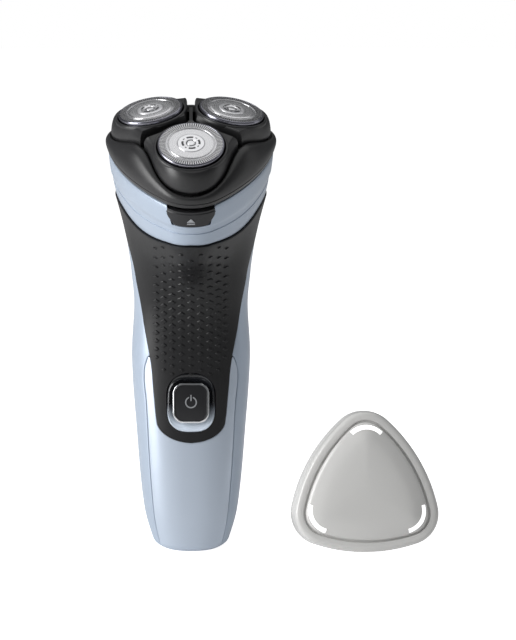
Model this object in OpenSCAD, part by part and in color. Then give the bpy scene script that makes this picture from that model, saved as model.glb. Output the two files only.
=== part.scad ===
// Three-head rotary shaver with a curved handle, an opening shaving head and a travel cap.
// +Z is up, the controls face -Y, and the origin is at the middle of the flat base.

/* [Handle] */
// Angle by which the lower handle leans back
lean = 9; // [7:0.5:11]
// Length of the straight lower handle
straight_l = 65; // [62:1:68]
// Length of the bend that carries the handle forward
bend_l = 58; // [54:1:62]
// Length of the straight neck up to the shaving plane
neck_l = 45; // [44:1:48]
// Wall thickness of the moulded shells
shell_t = 2.2; // [1.8:0.1:2.4]
// Depth of the bed in the front panel for the grip's tongue
bed_t = 1.6; // [1.4:0.1:1.8]
// How far the rubber grip stands proud of the shells
grip_proud = 0.25; // [0.1:0.05:0.5]
// Gap at the seams between the shells
seam = 0.5; // [0.3:0.1:0.8]

/* [Shaving head] */
// Forward tilt of the shaving plane
head_tilt = 23; // [21:1:25]
// Distance from the head's axis to the centre of each corner arc
corner_at = 19.8; // [19.4:0.1:20.2]
// Radius of the corner arcs at the skirt's widest level
corner_r = 14; // [13.8:0.1:14.4]
// Distance from the head's axis to the middle of each side
side_mid = 26.5; // [26:0.1:27]
// Wall thickness of the skirt
skirt_t = 1.6; // [1.4:0.1:1.8]
// Width of the gaps between neighbouring petals
petal_gap = 2.6; // [2.4:0.1:3]

/* [Shaving units] */
// Distance from the head's axis to each shaving unit
unit_at = 17; // [16.8:0.1:17.2]
// Outward tilt of each shaving unit
unit_tilt = 11; // [9:0.5:12]
// Outer diameter of each guard
guard_d = 23.5; // [23:0.1:23.8]
// Height of the guard's wall
guard_h = 5.5; // [5:0.1:6]
// Number of hair slots in each guard
slot_count = 36; // [24:1:45]
// Number of blades on each cutter
blade_count = 15; // [9:1:18]

/* [Drive] */
// Module of the gears
gear_module = 0.5; // [0.5]
// Teeth on the motor pinion
pinion_teeth = 15; // [15]
// Teeth on each drive gear
gear_teeth = 46; // [46]
// Thickness of the drive gears
gear_t = 2.5; // [2:0.1:2.6]
// Radius of the drive spindles
spindle_r = 1.5; // [1.4:0.05:1.6]
// Radial clearance of the running fits
run_gap = 0.08; // [0.05:0.01:0.1]
// Radius of the motor
motor_r = 11; // [10:0.5:11.5]

/* [Controls] */
// Width of the power button's trim ring
button_w = 13.5; // [13:0.1:14]
// Height of the power button's trim ring
button_h = 15; // [14.5:0.1:15.5]
// Distance of the power button along the handle
button_s = 55; // [54:0.5:56]
// Width of the trim ring's band
trim_t = 0.7; // [0.5:0.1:1]
// Width of the release button at its top
release_w = 17; // [16:0.5:17.5]
// Width of the charging socket's opening
socket_w = 10.4; // [10.2:0.1:10.6]
// Depth of the charging socket's opening from front to back
socket_d = 6; // [5.8:0.1:6.2]

/* [Travel cap] */
// Width of the cap's rim
cap_w = 54.8; // [54:0.2:58]
// Depth of the cap
cap_h = 18; // [16:0.5:20]
// Wall thickness of the cap
cap_t = 1; // [0.9:0.1:1.6]
// Distance from the handle's base to the middle of the cap
cap_x = 65; // [60:1:100]
// Angle by which the standing cap leans back
cap_lean = 17; // [0:1:20]

/* [Hidden] */

socket_y = 4.1;
straight_end = straight_l;
slot_at = 15.2;
slot_in = 7;
slot_out = 8.7;
bend_end = straight_l + bend_l;
cap_y = -13;
head_s = bend_end + neck_l;
bend_r = bend_l / ((lean + head_tilt) * PI / 180);
bend_y = straight_l * sin(lean);
bend_z = straight_l * cos(lean);
neck_y = bend_y + bend_r * (cos(head_tilt) - cos(lean));
neck_z = bend_z + bend_r * (sin(head_tilt) + sin(lean));
head_y = neck_y - neck_l * sin(head_tilt);
head_z = neck_z + neck_l * cos(head_tilt);

// Levels along the head's axis, from the shaving plane
skirt_wide_z = -13.5;
petal_low_z = -12.2;
skirt_rim_z = -17;
collar_top_z = -17.7;
collar_low_z = -34;
floor_z = -20;
floor_t = 2;
gear_z = -29.5;
plate_z = -33.6;
plate_t = 1.8;
motor_top_z = -34.4;
motor_h = 26;
carrier_z = -14.4;
hinge_y = 24.2;
hinge_z = -19.2;
spindle_at = gear_module * (pinion_teeth + gear_teeth) / 2;
guard_r = guard_d / 2;

// Handle sections: distance along the spine, half width, depth to the front, depth to the back
sections = [[0, 13.8, 12.6, 12.6], [14, 17.8, 14, 15], [45, 20.8, 15.4, 17.4], [72, 22.5, 16.2, 19],
    [98, 21.7, 15.6, 19.4], [122, 27.2, 19, 21.5], [140, 28, 21, 23]];
section_n = 2.35;
// Edge of the grip: distance along the spine, angle from the front
grip_edge = [[46, 42.5], [50, 44], [56, 45], [62, 46], [68, 47], [74, 49.5], [80, 53.5], [86, 58], [94, 63],
    [100, 66], [106, 69], [111, 72], [116, 79], [120, 92], [134, 118]];
tongue_end = 40;
tongue_full = 48;
tongue_angle = 43.3;
// Edge of the front panel: distance along the spine, angle from the front
panel_edge = [[0, 52], [6, 54], [14, 55], [37, 56], [55, 56], [63, 57.5], [68, 56.5], [72, 53], [74, 51]];
// Lower edge of the collar: angle from the front, distance along the spine
collar_edge = [[0, 134.6], [15, 133.5], [25, 132.4], [37, 131.4], [53, 131], [71, 131.5], [91, 132.5],
    [130, 133], [180, 133]];
panel_top = 73.4;
blend_from = 97;

function smooth(t) = let (u = min(1, max(0, t))) u * u * (3 - 2 * u);
function lerp(a, b, t) = a + (b - a) * t;
function steps(a, b, n) = [for (i = [0:n]) lerp(a, b, i / n)];

// Smooth curve through a table's rows, at x in column c
function row_of(t, x, i = 0) = i >= len(t) - 2 || x < t[i + 1][0] ? i : row_of(t, x, i + 1);
function slope_at(t, i, c) =
    let (lo = max(i - 1, 0), hi = min(i + 1, len(t) - 1))
    (t[hi][c] - t[lo][c]) / (t[hi][0] - t[lo][0]);
function curve(t, x, c = 1) =
    let (i = row_of(t, x), h = t[i + 1][0] - t[i][0], u = (x - t[i][0]) / h)
    (2 * pow(u, 3) - 3 * pow(u, 2) + 1) * t[i][c]
    + (pow(u, 3) - 2 * pow(u, 2) + u) * h * slope_at(t, i, c)
    + (3 * pow(u, 2) - 2 * pow(u, 3)) * t[i + 1][c]
    + (pow(u, 3) - pow(u, 2)) * h * slope_at(t, i + 1, c);

// Rounded triangle in polar form, with a corner at the front; d is an inset from the widest outline
tri_k = corner_at / 2 - side_mid;
tri_q = corner_at * sin(60);
side_r = (pow(corner_r, 2) - pow(tri_k, 2) - pow(tri_q, 2)) / (2 * (tri_k + corner_r));
side_back = side_r - side_mid;
function off_corner(a) = abs(((a % 120) + 180) % 120 - 60);
function tri_radius(a, d = 0) =
    let (m = off_corner(a), r = corner_r - d, v = [corner_at + side_back / 2, side_back * sin(60)],
        touch = [corner_at, 0] + v * r / norm(v))
    m < atan2(touch[1], touch[0])
        ? corner_at * cos(m) + sqrt(pow(r, 2) - pow(corner_at * sin(m), 2))
        : sqrt(pow(side_r - d, 2) - pow(side_back * sin(60 - m), 2)) - side_back * cos(60 - m);
function tri_outline(d, n = 72) = [for (i = [0:n - 1]) let (a = i * 360 / n) polar(a, tri_radius(a, d))];
function polar(a, r) = [r * sin(a), -r * cos(a)];

// Inset of the collar and neck below the head, by level along the head's axis
function neck_inset(z) =
    let (u = (collar_top_z - z) / (collar_top_z - collar_low_z))
    min(10, 1 + 1.9 * pow(max(0, u), 1.6));
function oval_radius(a, w, d) =
    pow(pow(abs(sin(a)) / w, section_n) + pow(abs(cos(a)) / d, section_n), -1 / section_n);
function skin_radius(s, a, d) =
    let (k = smooth((s - blend_from) / (head_s + collar_low_z - blend_from)),
        depth = curve(sections, s, cos(a) > 0 ? 2 : 3),
        oval = oval_radius(a, curve(sections, s, 1) - d, depth - d),
        tri = tri_radius(a, neck_inset(s - head_s) + d))
    lerp(oval, tri, k);

// The handle's spine: a straight lean back, a bend forward, and a straight neck
function spine_angle(s) = s < straight_end ? -lean : min(head_tilt, -lean + (s - straight_end) / bend_l
    * (lean + head_tilt));
function spine(s) =
    let (t = spine_angle(s))
    s < straight_end ? [s * sin(lean), s * cos(lean)]
        : s < bend_end ? [bend_y + bend_r * (cos(t) - cos(lean)), bend_z + bend_r * (sin(t) + sin(lean))]
        : [neck_y - (s - bend_end) * sin(head_tilt), neck_z + (s - bend_end) * cos(head_tilt)];
// Point on the handle: s along the spine, a from the front towards +X, d below the skin
function skin(s, a, d = 0) =
    let (c = spine(s), t = spine_angle(s) * smooth(s / 26), p = polar(a, skin_radius(s, a, d)))
    [p[0], c[0] + p[1] * cos(t), c[1] + p[1] * sin(t)];
// Distance along the spine for row s, whose last rows follow the collar's lower edge
function collar_s(a) = curve(collar_edge, 180 - abs(((a % 360) + 360) % 360 - 180));
function row_s(s, a) = s < 112 ? s : lerp(112, collar_s(a) - 0.4, (s - 112) / (last_s - 112));

// Frames of the leaning handle, the head and each shaving unit (0 front, 1 right, 2 left)
module at_lean() { rotate([-lean, 0, 0]) children(); }
module at_head() { translate([0, head_y, head_z]) rotate([head_tilt, 0, 0]) children(); }
module at_corner(k) { at_head() rotate([0, 0, 120 * k]) children(); }
module at_unit(k) { at_corner(k) translate([0, -unit_at, 0]) rotate([unit_tilt, 0, 0]) children(); }
module at_spindle(k) { at_corner(k) translate([0, -spindle_at, 0]) children(); }
module at_cap() {
    translate([cap_x, cap_y, cap_w * 0.428 * cos(cap_lean) + cap_h / 2 * sin(cap_lean)])
        rotate([90 - cap_lean, 0, 0]) children();
}

// Closed solid between two matching grids of points
module slab(outer, inner) {
    rows = len(outer);
    w = len(outer[0]);
    n = rows * w;
    points = [for (g = [outer, inner]) for (r = g) for (p = r) p];
    skin_faces = [for (r = [0:rows - 2]) for (c = [0:w - 2])
        let (a = r * w + c, b = a + 1, e = a + w, f = e + 1)
        each [[a, e, b], [b, e, f], [n + a, n + b, n + e], [n + b, n + f, n + e]]];
    side_faces = [for (r = [0:rows - 2]) let (a = r * w, e = a + w, b = a + w - 1, f = e + w - 1)
        each [[a, n + a, e], [e, n + a, n + e], [b, f, n + b], [f, n + f, n + b]]];
    end_faces = [for (c = [0:w - 2]) let (a = c, e = (rows - 1) * w + c)
        each [[a, a + 1, n + a], [a + 1, n + a + 1, n + a], [e, n + e, e + 1], [e + 1, n + e, n + e + 1]]];
    polyhedron(points, concat(skin_faces, side_faces, end_faces), convexity = 8);
}

// Closed ring swept through loops of equal length
module hoop(loops) {
    rows = len(loops);
    w = len(loops[0]);
    points = [for (r = loops) for (p = r) p];
    faces = [for (r = [0:rows - 1]) for (c = [0:w - 1])
        let (a = r * w + c, b = r * w + (c + 1) % w, e = ((r + 1) % rows) * w + c,
            f = ((r + 1) % rows) * w + (c + 1) % w)
        each [[a, b, e], [b, f, e]]];
    polyhedron(points, faces, convexity = 8);
}

// Closed stack of loops of equal length with flat ends
module stack(loops) {
    rows = len(loops);
    w = len(loops[0]);
    points = [for (r = loops) for (p = r) p];
    walls = [for (r = [0:rows - 2]) for (c = [0:w - 1])
        let (a = r * w + c, b = r * w + (c + 1) % w)
        each [[a, a + w, b], [b, a + w, b + w]]];
    low = [[for (c = [0:w - 1]) c]];
    high = [[for (c = [w - 1:-1:0]) (rows - 1) * w + c]];
    polyhedron(points, concat(walls, low, high), convexity = 8);
}

// Plate with rounded corners, standing on XZ with its thickness from y0 to y1
module upright_plate(w, h, r, y0, y1) {
    translate([0, y1, 0]) rotate([90, 0, 0]) linear_extrude(y1 - y0) rounded_rect(w, h, r);
}
module rounded_rect(w, h, r) {
    for (x = [-1, 1], y = [-1, 1]) translate([x * (w / 2 - r), y * (h / 2 - r)]) circle(r, $fn = 48);
    square([w - 2 * r, h], center = true);
    square([w, h - 2 * r], center = true);
}

/* Handle shells */
last_s = 133.6;
housing_rows = [0, 0.9, 2.8, 8, 16, 26, 36, 46, 56, 65, 73.4, 79, 85, 91, 97, 103, 109, 115, 121, 127, last_s];
function base_round(s) = s > 2.7 ? 0 : 2.4 * pow(1 - s / 2.8, 2);
function grip_angle(s) = s >= tongue_full ? curve(grip_edge, s)
    : tongue_angle * sqrt(max(0, 1 - pow((tongue_full - s) / (tongue_full - tongue_end), 2)));
function housing_angle(s) = s > panel_top ? curve(grip_edge, s)
    : max(curve(panel_edge, s), s > 60 ? curve(grip_edge, s) : 0);

function housing_row(s, d) =
    let (a = housing_angle(s) + seam)
    [for (t = steps(a, 360 - a, 34)) skin(row_s(s, t), t, d)];
module rear_housing() {
    color([0.72, 0.77, 0.86]) slab(
        [for (s = housing_rows) housing_row(s, base_round(s))],
        [for (s = housing_rows) housing_row(s, shell_t + 0.6 * base_round(s))]);
}

// Rows of the front panel, closer together around the tongue's round end
panel_rows = [0, 0.9, 2.8, 8, 16, 26, 34, tongue_end - 1.2, tongue_end - 0.6, 40.6, 41.5, 43, 45.5, 48, 54,
    62, 68, 72.8];
function bed_angle(s) = s < tongue_end - 0.9 ? 9 : max(9, grip_angle(s) + 1);
function bed_depth(s) = s > tongue_end - 0.9 ? bed_t : 0;
function panel_grid(s, extra) =
    let (a = curve(panel_edge, s) - seam, b = bed_angle(s))
    concat(
        [for (t = steps(-a, -b - 0.6, 3)) skin(s, t, extra + base_round(s))],
        [for (t = steps(-b, b, 12)) skin(s, t, extra + base_round(s) + bed_depth(s))],
        [for (t = steps(b + 0.6, a, 3)) skin(s, t, extra + base_round(s))]);
module front_panel() {
    color([0.78, 0.83, 0.92]) difference() {
        slab([for (s = panel_rows) panel_grid(s, 0)], [for (s = panel_rows) panel_grid(s, 1.7)]);
        button_opening();
    }
}

grip_rows = [tongue_end, 40.5, 41.3, 43, 45.5, 48, 54, 62, 68, 73, 74, 79, 85, 91, 97, 103, 109, 115, 121,
    127, last_s];
function grip_depth(s) = s > 73.5 ? shell_t : bed_t - 0.15;
function grip_row(s, d) =
    [for (t = steps(-1, 1, 30)) let (a = t * max(9, grip_angle(s))) skin(row_s(s, a), a, d)];
module grip_panel() {
    color([0.16, 0.165, 0.17]) difference() {
        slab([for (s = grip_rows) grip_row(s, -grip_proud)],
            [for (s = grip_rows) grip_row(s, grip_depth(s))]);
        button_opening();
    }
}

module button_opening() {
    at_lean() translate([0, 0, button_s]) upright_plate(18.4, 22.4, 8, -20, -9);
}

// Light collar between the grip and the head, with a shallow crease around it
collar_levels = [[collar_top_z, 0.5], [-18.3, 0], [-22, 0], [-25.2, 0], [-26.2, 0.34], [-28, 0.36],
    [-28.3, 0.62], [-28.6, 0.36], [collar_low_z, 0.3]];
function collar_level(z, a) = z > -24 ? z : lerp(-24, collar_s(a) - head_s, (z + 24) / (collar_low_z + 24));
module collar() {
    color([0.72, 0.77, 0.86]) difference() {
        hoop([for (side = [0, 1]) for (i = [0:len(collar_levels) - 1])
            let (l = collar_levels[side == 0 ? i : len(collar_levels) - 1 - i])
            [for (k = [0:71]) skin(head_s + collar_level(l[0], k * 5), k * 5, side == 0 ? l[1] : shell_t)]]);
        release_opening();
        at_head() translate([-8.3, 18, -22.4]) cube([16.6, 12, 6.6]);
    }
}
module release_opening() {
    at_head() translate([0, -26, 0]) rotate([90, 0, 0]) linear_extrude(12)
        polygon([for (p = [[-1, 1, 1], [-1, 0, 1], [-1, 0, 0], [1, 0, 0], [1, 0, 1], [1, 1, 1]])
            [p[0] * (p[2] == 1 ? release_w / 2 + 0.3 : 6.8),
            p[2] == 0 ? release_low_z - 0.4 : p[1] == 1 ? collar_top_z + 1 : -20.2]]);
}

/* Inside the handle */
module base_plate() {
    color([0.6, 0.64, 0.7]) difference() {
        linear_extrude(2.3) polygon([for (k = [0:71]) let (p = skin(0, k * 5, 4.3)) [p[0], p[1]]]);
        translate([-socket_w / 2, socket_y - socket_d / 2, -1]) cube([socket_w, socket_d, 6]);
    }
}
module charge_socket() {
    color([0.08, 0.08, 0.09]) translate([0, socket_y, 2.4]) difference() {
        translate([-socket_w / 2 - 1.4, -socket_d / 2 - 1.4, 0]) cube([socket_w + 2.8, socket_d + 2.8, 10]);
        translate([-socket_w / 2, -socket_d / 2, -1]) cube([socket_w, socket_d, 9]);
    }
}
module charge_pins() {
    color([0.85, 0.83, 0.75]) for (x = [-3.7, 3.7]) translate([x, socket_y, 4])
        cylinder(r = 0.75, h = 6.4, $fn = 32);
}
module battery() {
    color([0.2, 0.45, 0.35]) at_lean() translate([0, 3, 16]) {
        cylinder(r = 7.1, h = 47, $fn = 64);
        translate([0, 0, 46.9]) cylinder(r = 2.8, h = 1.4, $fn = 48);
    }
}
module chassis() {
    color([0.85, 0.85, 0.83]) at_lean() {
        translate([-5.5, 10.3, 14]) cube([11, 1.2, 50]);
        for (z = [22, 52]) translate([0, 3, z]) difference() {
            cylinder(r = 8.4, h = 4, $fn = 64);
            translate([0, 0, -1]) cylinder(r = 7.25, h = 6, $fn = 64);
            translate([-10, -12, -1]) cube([20, 8.5, 6]);
        }
    }
}
module circuit_board() {
    color([0.1, 0.35, 0.2]) at_lean() translate([-8, -7.4, 14]) cube([16, 1.2, 50]);
}
module tact_switch() {
    color([0.3, 0.3, 0.32]) at_lean() translate([0, -7.45, button_s]) {
        translate([-3, -2.6, -3]) cube([6, 2.6, 6]);
        rotate([90, 0, 0]) translate([0, 0, 2.5]) cylinder(r = 1.6, h = 1, $fn = 32);
    }
}
module button_surround() {
    color([0.3, 0.33, 0.38]) at_lean() translate([0, 0, button_s]) difference() {
        upright_plate(18, 22, 7.8, -15.1, -13.4);
        upright_plate(button_w + 0.5, button_h + 0.5, 4, -17, -12);
    }
}
module button_seal() {
    color([0.1, 0.1, 0.1]) at_lean() translate([0, 0, button_s]) difference() {
        upright_plate(18, 22, 7.8, -13.35, -12.2);
        upright_plate(16.2, 17.6, 4.2, -15, -11);
    }
}
module motor_can() {
    color([0.7, 0.71, 0.73]) at_head() translate([0, 0, motor_top_z - motor_h]) difference() {
        cylinder(r = motor_r, h = motor_h, $fn = 96);
        translate([0, 0, 2]) cylinder(r = 1 + run_gap, h = motor_h, $fn = 48);
    }
}
module motor_mount() {
    color([0.85, 0.85, 0.83]) at_head() {
        for (z = [-57, -42]) translate([0, 0, z]) difference() {
            cylinder(r = motor_r + 1.6, h = 4, $fn = 96);
            translate([0, 0, -1]) cylinder(r = motor_r + 0.1, h = 6, $fn = 96);
        }
        translate([-4, motor_r + 0.4, -57]) cube([8, 1.2, 19]);
    }
}
module gear_plate() {
    color([0.9, 0.9, 0.88]) {
        difference() {
            at_head() translate([0, 0, plate_z]) linear_extrude(plate_t) polygon(tri_outline(7.8));
            at_head() translate([0, 0, plate_z - 1]) cylinder(r = 3, h = plate_t + 2, $fn = 48);
            for (k = [0:2]) at_spindle(k) translate([0, 0, plate_z + 0.3])
                cylinder(r = spindle_r + run_gap, h = 4, $fn = 48);
            for (k = [0:2]) screw_place(k) translate([0, 0, -1]) cylinder(r = 1, h = 5, $fn = 32);
        }
        for (k = [0:2]) at_spindle(k) translate([0, 0, plate_z + plate_t - 0.05]) difference() {
            cylinder(r = 3, h = 1.8, $fn = 48);
            translate([0, 0, -1]) cylinder(r = spindle_r + run_gap, h = 4, $fn = 48);
        }
    }
}
module screw_place(k) { at_corner(k) translate([0, 17.2, plate_z]) children(); }
module plate_screws() {
    color([0.75, 0.75, 0.77]) for (k = [0:2]) screw_place(k) {
        translate([0, 0, -2]) cylinder(r = 0.95, h = 3.9, $fn = 32);
        translate([0, 0, plate_t + 0.05]) cylinder(r = 1.8, h = 0.9, $fn = 32);
    }
}
module chamber_floor() {
    color([0.12, 0.12, 0.13]) difference() {
        at_head() translate([0, 0, floor_z - floor_t]) linear_extrude(floor_t) polygon(tri_outline(4));
        for (k = [0:2]) at_spindle(k) translate([0, 0, floor_z - floor_t - 1])
            cylinder(r = spindle_r + run_gap, h = floor_t + 2, $fn = 48);
        at_head() translate([-10, -34, floor_z - floor_t - 1]) cube([20, 7, floor_t + 2]);
        at_head() translate([-8.6, 18.6, floor_z - floor_t - 1]) cube([17.2, 8, floor_t + 2]);
    }
}
module chamber_seal() {
    color([0.25, 0.25, 0.26]) difference() {
        at_head() translate([0, 0, floor_z + 0.02]) linear_extrude(1.2) difference() {
            polygon(tri_outline(5));
            polygon(tri_outline(6.4));
        }
        at_head() translate([-10, -34, floor_z - 1]) cube([20, 7, 4]);
        at_head() translate([-8.6, 18.6, floor_z - 1]) cube([17.2, 8, 4]);
    }
}
module spindle_seals() {
    color([0.2, 0.2, 0.2]) for (k = [0:2]) at_spindle(k) translate([0, 0, floor_z + 0.02]) difference() {
        cylinder(r = 3.2, h = 1.2, $fn = 48);
        translate([0, 0, -1]) cylinder(r = spindle_r + run_gap, h = 4, $fn = 48);
    }
}
module hinge_bracket() {
    color([0.12, 0.12, 0.13]) at_head() difference() {
        union() {
            translate([-8.1, 18.9, -24.4]) cube([16.2, 3.1, 2.3]);
            for (x = [-8.1, 5.3]) translate([x, 18.9, -22.2]) cube([2.8, 4.4, 3.4]);
            for (x = [-8.1, 5.3]) translate([x, hinge_y, hinge_z]) rotate([0, 90, 0])
                cylinder(r = 2, h = 2.8, $fn = 48);
        }
        translate([-10, hinge_y, hinge_z]) rotate([0, 90, 0]) cylinder(r = 1.02, h = 20, $fn = 48);
    }
}
module hinge_pin() {
    color([0.8, 0.8, 0.82]) at_head() translate([-8, hinge_y, hinge_z]) rotate([0, 90, 0])
        cylinder(r = 1, h = 16, $fn = 48);
}

/* Drive */
// Gear with straight-flanked teeth; turn sets the angle of its first tooth, from -Y
module gear(teeth, h, bore, turn) {
    p = gear_module * teeth / 2;
    a = 360 / teeth;
    tip = p + gear_module * 0.9;
    root = p - gear_module * 1.15;
    difference() {
        rotate([0, 0, turn]) linear_extrude(h) polygon([for (i = [0:teeth - 1]) each [
            polar((i - 0.29) * a, root), polar((i - 0.22) * a, p), polar((i - 0.11) * a, tip),
            polar((i + 0.11) * a, tip), polar((i + 0.22) * a, p), polar((i + 0.29) * a, root)]]);
        translate([0, 0, -1]) cylinder(r = bore, h = h + 2, $fn = 48);
    }
}
module motor_shaft() {
    color([0.82, 0.82, 0.84]) at_head() translate([0, 0, motor_top_z - 12])
        cylinder(r = 1, h = 20.5, $fn = 48);
}
// The pinion has a tooth towards each drive gear, whose tooth gaps face it
module motor_pinion() {
    color([0.85, 0.75, 0.4]) at_head() translate([0, 0, gear_z - 0.3])
        gear(pinion_teeth, gear_t + 0.6, 1.02, 0);
}
module drive_gear(k) {
    color([0.93, 0.93, 0.9]) at_spindle(k) translate([0, 0, gear_z])
        gear(gear_teeth, gear_t, spindle_r + 0.02, 180 + 180 / gear_teeth);
}
module drive_spindle(k) {
    color([0.82, 0.82, 0.84]) at_spindle(k) {
        translate([0, 0, plate_z + 0.6]) cylinder(r = spindle_r, h = -11 - plate_z - 0.6, $fn = 48);
        translate([0, 0, -11.1]) cylinder(r = 2.3, h = 1.9, $fn = 3);
    }
}

/* Controls */
module power_button() {
    color([0.1, 0.1, 0.11]) at_lean() translate([0, 0, button_s]) {
        upright_plate(button_w - 2 * trim_t - 0.04, button_h - 2 * trim_t - 0.04, 3.2, -16.5, -14.2);
        upright_plate(button_w + 2, button_h + 1.8, 3.6, -13.2, -12.5);
        upright_plate(9, 10, 3, -14.3, -13.1);
        rotate([90, 0, 0]) translate([0, 0, 12.2]) cylinder(r = 1.5, h = 0.4, $fn = 32);
    }
}
module button_trim() {
    color([0.85, 0.86, 0.88]) at_lean() translate([0, 0, button_s]) difference() {
        upright_plate(button_w, button_h, 3.9, -16.7, -14.2);
        upright_plate(button_w - 2 * trim_t, button_h - 2 * trim_t, 3.22, -18, -12);
    }
}
module power_icon() {
    color([0.85, 0.86, 0.88]) at_lean() translate([0, -16.5, button_s + 0.3]) rotate([90, 0, 0])
        linear_extrude(0.15) power_symbol();
}
// Power mark: a broken ring with a bar through its gap
module power_symbol() {
    difference() {
        circle(2.2, $fn = 48);
        circle(1.75, $fn = 48);
        translate([-0.7, 0]) square([1.4, 3]);
    }
    translate([-0.22, 0.5]) square([0.44, 2.3]);
}
release_low_z = -24.5;
release_top_z = -18.6;
release_rows = [release_low_z, -23.9, -22.9, -21.7, -20.2, release_top_z];
function release_angle(z) = lerp(11.6, 15.8, smooth((z - release_low_z) / 4)) - 3 * max(0, -23.9 - z);
function release_row(z, d) = [for (t = steps(-1, 1, 8)) skin(head_s + z, t * release_angle(z), d)];
module release_button() {
    color([0.13, 0.13, 0.14]) {
        slab([for (z = release_rows) release_row(z, z < -24 ? 0.3 : -0.3)],
            [for (z = release_rows) release_row(z, 1.9)]);
    }
}
// Eject mark: a triangle over a bar, on the button's face
function mark_row(z, a, d) = [for (t = [-1, 0, 1]) skin(head_s + z, t * a, d)];
module mark(low_z, high_z, low_a, high_a) {
    slab([mark_row(low_z, low_a, -0.5), mark_row(high_z, high_a, -0.5)],
        [mark_row(low_z, low_a, -0.34), mark_row(high_z, high_a, -0.34)]);
}
module release_icon() {
    color([0.6, 0.61, 0.63]) {
        mark(-22.5, -21.1, 2.4, 0.2);
        mark(-23.4, -22.9, 2.4, 2.4);
    }
}

/* Shaving head */
// Lobed line where the petals meet the skirt: radius and level by angle
function lobe(a) = (1 + cos(3 * a)) / 2;
function line_radius(a) = 20 + 12.1 * pow(lobe(a), 1.35);
function line_level(a) = -4.5 - 7.5 * lobe(a);
function skirt_point(a, t, d) =
    let (r0 = line_radius(a) + 0.35, r1 = tri_radius(a, 0), z0 = line_level(a) - 0.45,
        r = lerp(r0, r1, sin(90 * t)), z = lerp(z0, skirt_wide_z, 1 - cos(90 * t)))
    concat(polar(a, r - d), z);
function rim_point(a, d, z) = concat(polar(a, tri_radius(a, d)), z);
module head_skirt() {
    angles = [for (k = [0:71]) k * 5];
    outside = [for (t = [0, 0.3, 0.55, 0.8, 1]) [for (a = angles) skirt_point(a, t, 0)]];
    rim = [[for (a = angles) rim_point(a, 0.3, -15.4)], [for (a = angles) rim_point(a, 0.9, skirt_rim_z)],
        [for (a = angles) rim_point(a, 0.9 + skirt_t, skirt_rim_z)],
        [for (a = angles) rim_point(a, skirt_t, skirt_wide_z - 0.6)]];
    inside = [for (t = [0.8, 0.55, 0.3, 0])
        [for (a = angles) skirt_point(a, t, skirt_t) - [0, 0, 1.4 - 0.4 * t]]];
    color([0.2, 0.2, 0.205]) at_head() hoop(concat(outside, rim, inside));
}
// Bars that fill the gaps between the petals and meet at the head's axis
module petal_rib() {
    color([0.16, 0.16, 0.165]) at_head() {
        for (k = [0:2]) rotate([0, 0, 120 * k + 60]) translate([0.6, 0, 0]) rotate([90, 0, -90])
            linear_extrude(1.2) polygon([[0.5, -11.8], [0.5, -1.04], [18.5, -4.43], [18.5, -11.8]]);
        translate([0, 0, -11.6]) cylinder(r = 1.1, h = 11, $fn = 48);
    }
}
module head_carrier() {
    color([0.3, 0.3, 0.31]) difference() {
        union() {
            at_head() translate([0, 0, carrier_z]) linear_extrude(1.5) polygon(tri_outline(4.6));
            for (k = [0:2], x = [-14.9, 14.1]) at_corner(k) translate([x, -unit_at - 1.2, carrier_z + 1.4])
                cube([0.8, 2.4, 3.1]);
        }
        for (k = [0:2]) at_spindle(k) translate([0, 0, carrier_z - 1]) cylinder(r = 5.6, h = 4, $fn = 64);
        for (k = [0:2]) at_pivot(k) translate([0, 0, -18]) cylinder(r = pivot_r + run_gap, h = 36, $fn = 48);
    }
}
module retaining_frame() {
    color([0.42, 0.43, 0.45]) at_head() translate([0, 0, carrier_z - 2.6]) linear_extrude(2.5) difference() {
        polygon(tri_outline(4));
        polygon(tri_outline(6.2));
    }
}
module hinge_lug() {
    color([0.16, 0.16, 0.165]) at_head() difference() {
        union() {
            translate([-5, hinge_y, hinge_z]) rotate([0, 90, 0]) cylinder(r = 1.9, h = 10, $fn = 48);
            translate([-4.6, 22.7, hinge_z]) cube([9.2, 1.1, 4.6]);
        }
        translate([-6, hinge_y, hinge_z]) rotate([0, 90, 0]) cylinder(r = 1 + run_gap, h = 12, $fn = 48);
    }
}

// Petal: a lobe of the head around one shaving unit, cut back from its neighbours. It rocks on a
// pair of short pins, in posts on the carrier.
pivot_r = 0.8;
pivot_z = -11.2;
module at_pivot(k) { at_corner(k) translate([0, -unit_at, pivot_z]) rotate([0, 90, 0]) children(); }
function side_gap(inset) = petal_gap / 2 + inset * 0.6;
function petal_end(inset, a = 55, n = 3) =
    n == 0 ? a : petal_end(inset, 60 - asin(side_gap(inset) / (line_radius(a) - inset)), n - 1);
module petal(k) {
    color([0.2, 0.2, 0.205]) difference() {
        union() {
            at_corner(k) petal_solid();
            for (h = [-15, 11]) at_pivot(k) translate([0, 0, h]) cylinder(r = pivot_r, h = 4, $fn = 48);
        }
        at_unit(k) translate([0, 0, -20]) cylinder(r = guard_r + 0.4, h = 30, $fn = 96);
    }
}
module petal_solid() {
    stack([
        [for (p = petal_ring(1.6)) [p[0], p[1], petal_low_z]],
        [for (p = petal_ring(1.6)) [p[0], p[1], lerp(petal_low_z, ring_level(p), 0.9)]],
        [for (p = petal_ring(0.5)) [p[0], p[1], ring_level(p)]],
        [for (p = petal_ring(0.1)) [p[0], p[1], ring_level(p) + 0.6]],
        [for (p = petal_ring(0.5)) [p[0], p[1], lerp(ring_level(p), top_level(p), 0.5)]],
        [for (p = petal_ring(1.2)) [p[0], p[1], lerp(ring_level(p), top_level(p), 0.8)]],
        [for (p = petal_ring(1.8)) [p[0], p[1], top_level(p)]]]);
}
function top_level(p) = -1.6 + (p[1] + unit_at) * tan(unit_tilt);
function ring_level(p) = line_level(atan2(p[0], -p[1])) + 0.35;
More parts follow.
